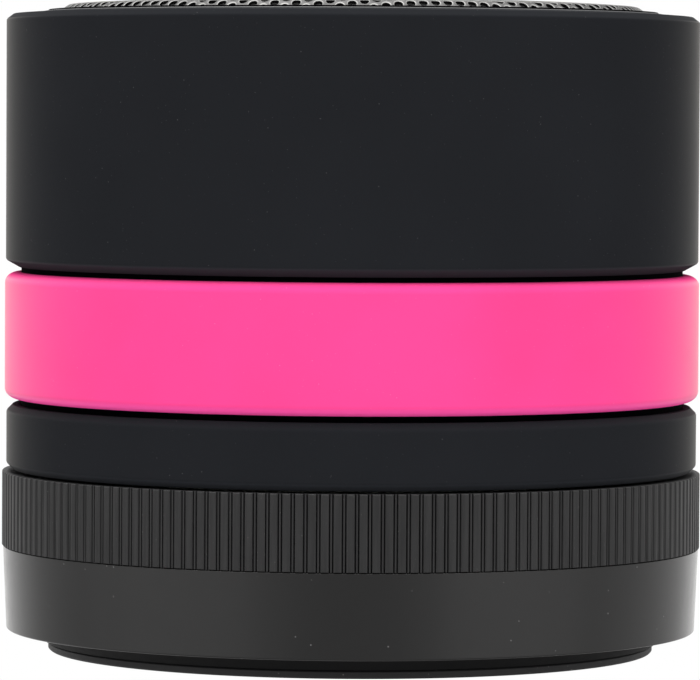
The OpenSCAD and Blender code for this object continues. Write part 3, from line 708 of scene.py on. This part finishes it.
# ---------------------------------------------------------------- gloss skirt
profile = fillet([
    (RING_R - 2.6, SKIRT_Z0, 0.1), (RING_R - 0.4, SKIRT_Z0, 0.16),
    (RING_R - 0.1, SKIRT_Z1, 0.06), (RING_R - 3.1, SKIRT_Z1),
    (RING_R - 3.1, SKIRT_Z1 + 2.0, 0.15), (RING_R - 4.2, SKIRT_Z1 + 2.0, 0.15),
    (RING_R - 4.2, SKIRT_Z1), (14.6, SKIRT_Z1), (14.6, SKIRT_Z1 - 1.4),
    (RING_R - 2.6, SKIRT_Z1 - 1.4, 0.3)], steps=10)
skirt = join(turned(profile, 360), *bosses(17, 45, 0.85, 2.2, 6.65, SKIRT_Z1 - 1))
stand_in(build("base_skirt_shell", *skirt), "base_skirt")

# ---------------------------------------------------------------- pressure plate
profile = fillet([
    (6.8, 5, 0.3), (18.2, 5, 0.4), (22.4, PLATE_Z0, 0.2), (PLATE_R - 1.05, PLATE_Z0, 0.06),
    (PLATE_R, PLATE_Z1, 0.06), (24.4, PLATE_Z1), (19.8, 6.6), (6.8, 6.6, 0.2)])
stand_in(lathe("pressure_plate_cone", profile), "pressure_plate")

# ---------------------------------------------------------------- suction cup
CUP_TOP = PLATE_Z0 - 0.04
profile = fillet([
    (0, 1.6), (9, 1.35, 3.0), (19.0, 0.36), (19.4, 0.20, 0.1), (19.8, 0.29, 0.1),
    (CUP_R - 3.6, 0, 0.5), (CUP_R - 0.15, 0, 0.1), (CUP_R, 0.14, 0.1),
    (CUP_R, CUP_TOP - 0.14, 0.1), (CUP_R - 0.14, CUP_TOP, 0.1), (21.4, CUP_TOP, 0.8),
    (17, 1.45, 1.2), (8, 2.25, 0.8), (5.8, 2.5, 0.3), (5.8, 4.9, 0.2), (2.55, 4.9),
    (2.55, 3.65), (4.55, 3.65), (4.55, 2.95), (0, 2.95)])


def densify(profile, step):
    """Adds points along an axis-to-axis profile."""
    out = []
    for start, end in zip(profile, profile[1:]):
        start, end = np.array(start), np.array(end)
        count = int(np.linalg.norm(end - start) // step)
        out += [tuple(start + (end - start) * j / (count + 1)) for j in range(count + 1)]
    return out + [profile[-1]]


cup = lathe("suction_cup_soft", densify(profile, 0.9), 288)
dress(cup, "cup_rubber")
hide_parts("suction_cup")

# ---------------------------------------------------------------- grille sheet
HOLE_PITCH, HOLE_R, HOLE_BEVEL = 1.05, 0.37, 0.075
MOUTH_R = HOLE_R + HOLE_BEVEL
HOLE_SIDES, HOLE_PHASE = 14, 0.37  # the phase is a share of one side
ROW_ANGLE = math.radians(17)
SHEET_R, SHEET_SIDES, SHEET_T = GRILLE_R - 0.08, 320, 0.30
CROWN_RISE = 0.55
CROWN_Z = GRILLE_Z1 - CROWN_RISE - RIM_Z


def sheet_z(r):
    """Top of the sheet: a flat edge, a bevel and a shallow crown, run into each other."""
    crown = CROWN_Z + CROWN_RISE * (1 - (r / (GRILLE_R - 1.85)) ** 3)
    edge = 0.03
    bevel = edge + (GRILLE_R - 1.05 - r) * 0.72
    top_blend, edge_blend = 0.05, 0.03
    low = min(crown, bevel)
    slope = low - top_blend * math.log(
        math.exp(-(crown - low) / top_blend) + math.exp(-(bevel - low) / top_blend))
    high = max(slope, edge)
    return RIM_Z + high + edge_blend * math.log(
        math.exp((slope - high) / edge_blend) + math.exp((edge - high) / edge_blend))


def polygon(cx, cy, radius, sides, phase):
    turns = [2 * math.pi * (k + phase) / sides for k in range(sides)]
    return [(cx + radius * math.cos(w), cy + radius * math.sin(w)) for w in turns]


def in_polygon(offset, radius, sides, phase):
    w = np.arctan2(offset[..., 1], offset[..., 0]) - 2 * np.pi * phase / sides
    w = np.mod(w, 2 * np.pi / sides) - np.pi / sides
    distance = np.hypot(offset[..., 0], offset[..., 1])
    return distance * np.cos(w) < radius * math.cos(math.pi / sides)


def hole_centres():
    """Staggered rows, turned by ROW_ANGLE; holes may be cut by the rim."""
    ca, sa = math.cos(ROW_ANGLE), math.sin(ROW_ANGLE)
    centres = []
    for j in range(-32, 33):
        for i in range(-32, 33):
            x = (i + 0.5 * (j % 2)) * HOLE_PITCH
            y = j * HOLE_PITCH * math.sqrt(3) / 2
            if math.hypot(x, y) < SHEET_R + 0.1:
                centres.append((x * ca - y * sa, x * sa + y * ca))
    return centres


def flat_sheet(centres):
    """Points and upward triangles of the flat sheet, without its holes."""
    outlines = [polygon(0, 0, SHEET_R, SHEET_SIDES, 0)]
    outlines += [polygon(*c, MOUTH_R, HOLE_SIDES, HOLE_PHASE) for c in centres]
    points, edges = [], []
    for outline in outlines:
        first, count = len(points), len(outline)
        points += outline
        edges += [(first + k, first + (k + 1) % count) for k in range(count)]
    result = delaunay_2d_cdt([Vector(p) for p in points], edges, [], 0, 1e-6)
    points = np.array([(p.x, p.y) for p in result[0]])
    triangles = np.array([list(t) for t in result[2]])
    middles = points[triangles].mean(1)
    holes = np.array(centres)
    nearest = np.array([((holes - m) ** 2).sum(1).argmin() for m in middles])
    open_area = in_polygon(middles - holes[nearest], MOUTH_R, HOLE_SIDES, HOLE_PHASE)
    open_area |= ~in_polygon(middles, SHEET_R, SHEET_SIDES, 0)
    kept = triangles[~open_area]
    side_a = points[kept[:, 1]] - points[kept[:, 0]]
    side_b = points[kept[:, 2]] - points[kept[:, 0]]
    down = side_a[:, 0] * side_b[:, 1] - side_a[:, 1] * side_b[:, 0] < 0
    kept[down] = kept[down][:, ::-1]
    return points, kept


def perforated_sheet(name, centres):
    points, triangles = flat_sheet(centres)
    holes = np.array(centres)
    n = len(points)
    top_z = [sheet_z(r) for r in np.hypot(points[:, 0], points[:, 1])]
    verts = [(x, y, z) for (x, y), z in zip(points, top_z)]
    verts += [(x, y, z - SHEET_T) for x, y, z in verts]
    faces = [list(t) for t in triangles] + [[q + n for q in t[::-1]] for t in triangles]

    hole_verts, rim_verts = {}, {}

    def at_hole(q, hole):
        """First of two vertices on the hole wall, inside outline point q."""
        if (q, hole) not in hole_verts:
            centre = holes[hole]
            x, y = centre + (points[q] - centre) * HOLE_R / MOUTH_R
            z = sheet_z(math.hypot(x, y))
            hole_verts[(q, hole)] = len(verts)
            verts.extend([(x, y, z - 0.045), (x, y, z - SHEET_T + 0.02)])
        return hole_verts[(q, hole)]

    def at_rim(q):
        """First of two vertices down the outer edge, under rim point q."""
        if q not in rim_verts:
            rim_verts[q] = len(verts)
            (x, y), z = points[q], top_z[q]
            verts.extend([(x, y, z - 0.06), (x * 0.9994, y * 0.9994, z - SHEET_T)])
        return rim_verts[q]

    def add_wall(a, b, wall_a, wall_b):
        faces.extend([[b, a, wall_a, wall_b], [wall_b, wall_a, wall_a + 1, wall_b + 1],
                      [wall_b + 1, wall_a + 1, a + n, b + n]])

    sides = [(int(t[i]), int(t[(i + 1) % 3])) for t in triangles for i in range(3)]
    shared = set(sides)
    rim = []
    for a, b in sides:
        if (b, a) in shared:
            continue
        mid = (points[a] + points[b]) / 2
        hole = int(((holes - mid) ** 2).sum(1).argmin())
        on_rim = abs(math.hypot(*mid) - SHEET_R) < 0.01
        offset = (mid * 0.9999 - holes[hole])[None]
        if on_rim and not in_polygon(offset, MOUTH_R - 0.005, HOLE_SIDES, HOLE_PHASE)[0]:
            rim.append((a, b))
        else:
            add_wall(a, b, at_hole(a, hole), at_hole(b, hole))
    for a, b in rim:
        add_wall(a, b, at_rim(a), at_rim(b))

    # close the corners where a hole runs out through the rim
    starts, ends = {a for a, b in rim}, {b for a, b in rim}
    for (q, _), k in hole_verts.items():
        if q in rim_verts and (q in starts) != (q in ends):
            d = rim_verts[q]
            corner = [[d, q, k], [d + 1, d, k, k + 1], [q + n, d + 1, k + 1]]
            faces += corner if q in starts else [face[::-1] for face in corner]

    data = bpy.data.meshes.new(name)
    data.from_pydata([(x * MM, y * MM, z * MM) for x, y, z in verts], [], faces)
    mesh = bmesh.new()
    mesh.from_mesh(data)
    bpy.data.meshes.remove(data)
    loose = [v for v in mesh.verts if not v.link_faces]
    bmesh.ops.delete(mesh, geom=loose, context="VERTS")
    bmesh.ops.remove_doubles(mesh, verts=mesh.verts, dist=2e-7)
    return finish_mesh(name, mesh, 0.6)


centres = hole_centres()
grille = perforated_sheet("grille_perforated", centres)
stand_in(grille, "grille")
grille.data.materials.append(HOLE_SHADE)
grille.data.materials.append(HOLE_HIGHLIGHT)
tree = KDTree(len(centres))
for k, (x, y) in enumerate(centres):
    tree.insert((x, y, 0), k)
tree.balance()
# hole walls get the painted shade (slot 1), the bevels round the holes the painted highlight
# (slot 2)
for face in grille.data.polygons:
    centre, up = face.center / MM, face.normal.z
    if abs(up) < 0.2 and math.hypot(centre.x, centre.y) < SHEET_R - 0.02:
        face.material_index = 1
    elif up > 0.2 and tree.find((centre.x, centre.y, 0))[2] < HOLE_R + 0.07:
        face.material_index = 2

# ---------------------------------------------------------------- grille rim, cloth and lip
profile = [
    (GRILLE_R - 0.55, UPPER_Z1 - 1.9), (GRILLE_R, UPPER_Z1 - 1.9), (GRILLE_R, LIP_Z1 + 0.11),
    (GRILLE_R - 0.03, LIP_Z1 + 0.14), (GRILLE_R - 0.07, LIP_Z1 + 0.14),
    (GRILLE_R - 0.10, LIP_Z1 - 0.3), (GRILLE_R - 0.55, LIP_Z1 - 0.45)]
rim_band = lathe("grille_rim_band", profile, sharp=0.9)
dress(rim_band, "black_plastic")
rim_band.data.materials[0] = GROOVE_SHADE  # a deeper black within the same slot: black gasket plus painted shade of the gap round the grille
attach(rim_band, "speaker_body")

radii = [CLOTH_R * k / 40 for k in range(41)]
profile = [(r, sheet_z(r) - 0.42) for r in radii]
profile += [(r, sheet_z(r) - 0.60) for r in reversed(radii)]
stand_in(lathe("grille_cloth_sheet", profile, 192, 1.2), "grille_cloth")

profile = fillet([(RING_R - 3.75, LIP_Z0), (LIP_R, LIP_Z0), (LIP_R, LIP_Z1, 0.2),
                  (RING_R - 3.75, LIP_Z1, 0.14)], steps=8, hold=0.03)
stand_in(lathe("grille_ring_lip", profile, 320), "grille_ring")


# ---------------------------------------------------------------- caps on the back
def pad(name, bound, front, sides, azimuth, z0, around=160, rings=56, icon=None):
    """A rounded cap facing out along an azimuth.

    bound(angle) is its half-width, front(s, t, edge) its depth at a point `edge` inside the
    outline, and icon(s, t) the signed distance to an engraved mark. Each of sides is
    (depth, growth of the outline), where depth is a number or a function of s. The
    attribute `ink` is 1 within the mark.
    """
    angles = np.linspace(0, 2 * np.pi, around, endpoint=False)
    bounds = np.array([bound(w) for w in angles])
    edge_s, edge_t = bounds * np.cos(angles), bounds * np.sin(angles)
    shares = 1 - (1 - np.linspace(0, 1, rings + 1)[1:]) ** 1.25
    s = np.append(0.0, np.outer(shares, edge_s))
    t = np.append(0.0, np.outer(shares, edge_t))
    depths = front(s, t, np.append(1.0, np.outer(1 - shares, bounds)))
    mark = np.zeros(len(s))
    if icon is not None:
        mark = 1 - np.clip((icon(s, t) + 0.04) / 0.08, 0, 1)
        depths = depths - 0.14 * mark * mark * (3 - 2 * mark)
    verts = [outward(azimuth, *point) for point in zip(depths, s, z0 + t)]
    faces = [[0, 1 + k, 1 + (k + 1) % around] for k in range(around)]
    for depth, grow in sides:
        for s, t in zip(edge_s * grow, edge_t * grow):
            verts.append(outward(azimuth, depth(s) if callable(depth) else depth, s, z0 + t))
    for ring in range(rings + len(sides) - 1):
        first = 1 + ring * around
        faces += quads(first, first + around, around, flip=True)
    faces.append(list(range(len(verts) - around, len(verts))))
    obj = build(name, verts, faces, 0.75)
    ink = np.zeros(len(verts), np.float32)
    ink[:len(mark)] = mark
    obj.data.attributes.new("ink", "FLOAT", "POINT").data.foreach_set("value", ink)
    return obj


def edge_drop(edge, radius):
    """How far a rounded edge falls back at a distance inside the outline."""
    inside = np.clip(radius - edge, 0, radius)
    return radius - np.sqrt(np.maximum(radius ** 2 - inside ** 2, 0))


def box_distance(s, t, cx, cy, half_s, half_t):
    ds, dt = np.abs(s - cx) - half_s, np.abs(t - cy) - half_t
    outside = np.hypot(np.maximum(ds, 0), np.maximum(dt, 0))
    return outside + np.minimum(np.maximum(ds, dt), 0)


def minus_mark(s, t):
    return box_distance(s, t, 0, 0, 1.2, 0.2)


def plus_mark(s, t):
    return np.minimum(minus_mark(s, t), box_distance(s, t, 0, 0, 0.2, 1.2))


def power_mark(s, t):
    """A ring open at the top, with a bar in the opening."""
    ring = np.abs(np.hypot(s, t) - 1.12) - 0.18
    gap = box_distance(s, t, 0, 1.2, 0.46, 1.0)
    return np.minimum(np.maximum(ring, -gap), box_distance(s, t, 0, 0.75, 0.18, 0.75))


def play_mark(s, t):
    """A triangle and two bars."""
    x = s + 0.75
    upper_side, lower_side = 0.5 * x + 0.866 * t - 0.475, 0.5 * x - 0.866 * t - 0.475
    triangle = np.maximum(np.maximum(-x - 0.475, upper_side), lower_side)
    bars = [box_distance(s, t, cx, 0, 0.18, 0.85) for cx in (0.72, 1.32)]
    return np.minimum(triangle, np.minimum(*bars))


def button_front(s, t, edge):
    dish = 0.10 * np.clip(1 - (s * s + t * t) / 5.5, 0, 1)
    return np.sqrt(RING_R ** 2 - s * s) - edge_drop(edge, 0.32) * 0.85 - dish


# a straight wall, a wider flange behind it and a narrow stem
BUTTON_SIDES = [(28.9, 1.0), (28.05, 1.0), (28.05, 1.133), (RING_R - 2.6, 1.133),
                (RING_R - 2.6, 0.334), (25.9, 0.32)]
BUTTONS = [  # CAD piece, joint body, mark
    ("power_button", "power_key", power_mark),
    ("volume_down_button", "volume_down_key", minus_mark),
    ("play_button", "play_key", play_mark),
    ("volume_up_button", "volume_up_key", plus_mark)]
for (node, key, icon), azimuth in zip(BUTTONS, BUTTON_ANGLES):
    button = pad(node + "_cap", lambda w: 3.0, button_front, BUTTON_SIDES, azimuth, BUTTON_Z,
                 icon=icon)
    stand_in(button, node, key, "button_pink")

# ---------------------------------------------------------------- port cover
COVER_HALF_X = 5.2
COVER_X = PIN_X + 0.05 + COVER_HALF_X


def rounded_bound(angle, half_x=COVER_HALF_X, half_z=2.1, corner=0.55):
    """Distance from the centre of a rounded rectangle to its outline."""
    c, s = abs(math.cos(angle)), abs(math.sin(angle))
    reach = min(half_x / c if c > 1e-9 else 1e9, half_z / s if s > 1e-9 else 1e9)
    cx, cz = half_x - corner, half_z - corner
    if reach * c > cx and reach * s > cz:
        # the ray meets the corner arc
        along = c * cx + s * cz
        rest = cx * cx + cz * cz - corner * corner
        reach = along + math.sqrt(max(0.0, along * along - rest))
    return reach


def cover_depth(radius):
    """Depth on a cylinder about the main axis; on the back, s runs towards -X."""
    return lambda s: np.sqrt(radius ** 2 - (COVER_X - s) ** 2)


def cover_front(s, t, edge):
    return cover_depth(LOWER_R - 0.05)(s) - edge_drop(edge, 0.25)


cover = pad("port_cover_flap", rounded_bound, cover_front,
            [(cover_depth(REBATE_R + 0.35), 1.0), (cover_depth(REBATE_R + 0.06), 0.985)],
            90, PORT_Z, around=192, rings=40)
for vertex in cover.data.vertices:
    vertex.co.x += COVER_X * MM
mesh = bmesh.new()
mesh.from_mesh(cover.data)
# rounded upright round the pin
profile = fillet([(0.4, PORT_Z - 2.08), (0.64, PORT_Z - 2.08, 0.08),
                  (0.64, PORT_Z + 2.08, 0.08), (0.4, PORT_Z + 2.08)], steps=4, hold=0.02)
add_faces(mesh, *shifted(turned(profile, 40), PIN_X, PIN_Y))
# plug on the inner side, slightly tapered at its tip
PLUG_SIDES = 64
verts = []
for y, grow in ((WALL_R - 0.1, 0.94), (WALL_R + 0.05, 1.0), (REBATE_R + 0.3, 1.0)):
    for k in range(PLUG_SIDES):
        w = 2 * math.pi * k / PLUG_SIDES
        reach = rounded_bound(w, 3.7 * grow, 1.25 * grow, 0.6)
        verts.append((reach * math.cos(w), y, PORT_Z + reach * math.sin(w)))
faces = quads(0, PLUG_SIDES, PLUG_SIDES, flip=True)
faces += quads(PLUG_SIDES, 2 * PLUG_SIDES, PLUG_SIDES, flip=True)
faces += [list(range(PLUG_SIDES)), list(range(2 * PLUG_SIDES, 3 * PLUG_SIDES))[::-1]]
add_faces(mesh, verts, faces)
bpy.data.objects.remove(cover)
stand_in(finish_mesh("port_cover_flap", mesh, 0.75), "port_cover", "port_door")

# ---------------------------------------------------------------- light pipe
lens = pad("light_pipe_lens", lambda w: 0.74,
           lambda s, t, edge: BAND_R + 0.02 - 0.105 * (s * s + t * t),
           [(29.2, 1.0), (24.4, 1.0)], LIGHT_PIPE_ANGLE, BUTTON_Z, around=48, rings=8)
stand_in(lens, "light_pipe")

# ---------------------------------------------------------------- stud spring
TURNS, WIRE_R, COIL_R = 5, 0.16, 1.9
COIL_STEPS, WIRE_SIDES = TURNS * 36, 12
rise = SPRING_Z1 - SPRING_Z0 - 2 * WIRE_R - 0.04
verts, faces = [], []
for i in range(COIL_STEPS + 1):
    share = i / COIL_STEPS
    height = np.interp(share, (0, 0.2, 0.8, 1), (0, 0.084, 0.916, 1))  # closer end turns
    w = 2 * math.pi * TURNS * share
    for k in range(WIRE_SIDES):
        b = 2 * math.pi * k / WIRE_SIDES
        r = COIL_R + WIRE_R * math.cos(b)
        z = SPRING_Z0 + 0.02 + WIRE_R + rise * height + WIRE_R * math.sin(b)
        verts.append((r * math.cos(w), r * math.sin(w), z))
for i in range(COIL_STEPS):
    faces += quads(i * WIRE_SIDES, (i + 1) * WIRE_SIDES, WIRE_SIDES, flip=True)
faces += [list(range(WIRE_SIDES)), list(range(len(verts) - WIRE_SIDES, len(verts)))[::-1]]
spring = build("stud_spring_coil", verts, faces, 1.0)
stand_in(spring, "stud_spring")


# ---------------------------------------------------------------- surround and spider
def roll_arc(radius, direction):
    """Half circle of the roll: direction -1 runs outwards, 1 runs inwards."""
    turns = [math.pi * k / 24 for k in range(25)]
    return [(19.2 + direction * radius * math.cos(w), DRIVER_Z + 0.85 + radius * math.sin(w))
            for w in turns]


profile = [(16.5, DRIVER_Z + 0.27), (16.5, DRIVER_Z + 0.55), (17.6, DRIVER_Z + 0.58)]
profile += roll_arc(1.6, -1)[:-2]
profile += [(20.85, DRIVER_Z + 1.35), (22.1, DRIVER_Z + 1.35), (22.1, DRIVER_Z + 1.07),
            (20.5, DRIVER_Z + 1.07)]
profile += roll_arc(1.25, 1) + [(17.95, DRIVER_Z + 0.27)]
surround = lathe("surround_roll", profile, 192, 0.8)
dress(surround, SLOT["surround"])
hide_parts("surround")

# four waves, falling slightly outwards, and a flat edge
line = [(6.4 + 5.1 * i / 60,
         DRIVER_Z - 6.65 - 0.84 * i / 60 + 0.2 * math.sin(i / 60 * 8 * math.pi))
        for i in range(61)]
line.append((13.8, DRIVER_Z - 7.49))
profile = [(r, z + 0.07) for r, z in line] + [(r, z - 0.07) for r, z in reversed(line)]
spider = lathe("spider_disc", profile, 160, 1.2)
dress(spider, SLOT["spider"])
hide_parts("spider")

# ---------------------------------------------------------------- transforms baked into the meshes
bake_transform(cup)
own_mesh(spring)
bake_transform(surround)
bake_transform(spider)

# ---------------------------------------------------------------- floor
scene = bpy.context.scene
scene.view_settings.view_transform = "Standard"
scene.view_settings.look = "None"

floor_data = bpy.data.meshes.new("floor")
floor_data.from_pydata([(-3, -3, 0), (3, -3, 0), (3, 3, 0), (-3, 3, 0)], [], [[0, 1, 2, 3]])
floor = bpy.data.objects.new("floor", floor_data)
scene.collection.objects.link(floor)
floor.location.z = -0.00002


def floor_material():
    """White to the camera, grey to the light it bounces.

    It is clear to glossy rays, so that glossy parts mirror the studio, and clear from below
    and right under the object, so that the underside can be looked at.
    """
    material, graph, output = new_material("pale_floor")
    rays = graph.node("LightPath").outputs
    white = graph.node("Emission")
    graph.feed(white, {"Color": (1, 1, 1), "Strength": 1.0})
    grey = graph.node("BsdfDiffuse")
    graph.feed(grey, {"Color": (0.52, 0.52, 0.52)})
    solid = graph.mix_shader(rays["Is Camera Ray"], grey, white)
    close = graph.math("LESS_THAN", rays["Ray Length"], 0.012)
    not_camera = graph.math("SUBTRACT", 1.0, rays["Is Camera Ray"])
    under = graph.math("MULTIPLY", close, not_camera)
    below = graph.node("NewGeometry").outputs["Backfacing"]
    unseen = graph.math("MAXIMUM", rays["Is Glossy Ray"], below)
    surface = graph.mix_shader(graph.math("MAXIMUM", unseen, under), solid,
                               graph.node("BsdfTransparent"))
    graph.link(surface.outputs[0], output.inputs["Surface"])
    return material


floor_data.materials.append(floor_material())

# ---------------------------------------------------------------- studio surround
# (degrees, brightness) round the object: 0 is towards the camera's side, 90 to the right
AROUND_LOW = [
    (-180, 1.0), (-155, 0.93), (-134, 0.76), (-113, 0.64), (-88, 0.85), (-50, 1.06),
    (-25, 0.80), (0, 0.63), (25, 0.80), (47, 1.08), (75, 0.96), (92, 0.74), (114, 0.74),
    (127, 0.78), (140, 0.85), (152, 1.0), (165, 1.02), (180, 1.0)]
AROUND_HIGH = [(-180, 1.0), (-60, 1.02), (0, 1.0), (60, 0.98), (90, 0.92), (120, 0.72),
               (150, 0.70), (180, 1.0)]
# (degrees, brightness) from straight below to straight above
UPWARD = [(-90, 0.60), (-35, 0.55), (-13, 0.90), (-4, 1.0), (4, 0.82), (15, 0.62), (25, 0.65),
          (45, 2.1), (65, 3.4), (90, 4.2)]


def brightness(graph, angle, stations):
    """Brightness at an angle in radians, read from a table of stations."""
    low, high = stations[0][0], stations[-1][0]
    top = max(value for _, value in stations)
    share = graph.remap(angle, span=(math.radians(low), math.radians(high)))
    node = graph.node("FloatCurve")
    points = node.mapping.curves[0].points
    while len(points) < len(stations):
        points.new(0.5, 0.5)
    for point, (degrees, value) in zip(points, stations):
        point.location = ((degrees - low) / (high - low), value / top)
        point.handle_type = "AUTO"
    node.mapping.update()
    graph.link(share, node.inputs["Value"])
    return graph.math("MULTIPLY", node.outputs["Value"], top)


def studio_world():
    world = bpy.data.worlds.new("studio")
    scene.world = world
    world.use_nodes = True
    graph = Graph(world.node_tree)
    output = graph.node("OutputWorld")
    axes = graph.node("SeparateXYZ")
    graph.link(graph.node("TexCoord").outputs["Generated"], axes.inputs[0])
    x, y, z = axes.outputs
    azimuth = graph.math("ARCTAN2", x, graph.math("MULTIPLY", y, -1.0))
    elevation = graph.math("ARCSINE", z)
    # the low pattern is a band near the horizon, which gives way to the high one
    high = graph.remap(graph.math("ABSOLUTE", elevation),
                       span=(math.radians(11), math.radians(30)), smooth=True)
    low_part = graph.math("MULTIPLY", brightness(graph, azimuth, AROUND_LOW),
                          graph.math("SUBTRACT", 1.0, high))
    high_part = graph.math("MULTIPLY", high, brightness(graph, azimuth, AROUND_HIGH))
    level = graph.math("MULTIPLY", graph.math("ADD", low_part, high_part),
                       brightness(graph, elevation, UPWARD))
    studio = graph.node("Background")
    graph.feed(studio, {"Strength": level, "Color": (1.0, 0.992, 0.985)})
    white = graph.node("Background")
    graph.feed(white, {"Color": (1, 1, 1)})
    to_camera = graph.node("LightPath").outputs["Is Camera Ray"]
    surface = graph.mix_shader(to_camera, studio, white)
    graph.link(surface.outputs[0], output.inputs["Surface"])


studio_world()


# ---------------------------------------------------------------- lights
def softbox(name, location, aim=(0, 0, 0.03), size=0.5, power=0.9):
    """A square area light, in metres and watts."""
    light = bpy.data.lights.new(name, "AREA")
    light.shape = "RECTANGLE"
    light.size = light.size_y = size
    light.energy = power
    obj = bpy.data.objects.new(name, light)
    scene.collection.objects.link(obj)
    obj.location = location
    obj.rotation_mode = "QUATERNION"
    obj.rotation_quaternion = (Vector(aim) - Vector(location)).to_track_quat("-Z", "Y")


softbox("key_left", location=(-0.55, -0.62, 0.42))
softbox("key_right", location=(0.60, -0.55, 0.40))

# ---------------------------------------------------------------- camera
CAMERA_DISTANCE, CAMERA_Z, AIM_Z = 0.460, 0.0453, 0.0266  # metres
CAMERA_ROLL = 0.33  # degrees
lens_data = bpy.data.cameras.new("camera")
camera = bpy.data.objects.new("camera", lens_data)
scene.collection.objects.link(camera)
scene.camera = camera
lens_data.sensor_width = 36
lens_data.lens = 275
lens_data.clip_start, lens_data.clip_end = 0.01, 20
lens_data.shift_x = -0.0024286
camera.location = (0, -CAMERA_DISTANCE, CAMERA_Z)
view = Vector((0, CAMERA_DISTANCE, AIM_Z - CAMERA_Z)).normalized().to_track_quat("-Z", "Y")
roll = Matrix.Rotation(math.radians(CAMERA_ROLL), 4, "Z").to_quaternion()
camera.rotation_mode = "QUATERNION"
camera.rotation_quaternion = view @ roll
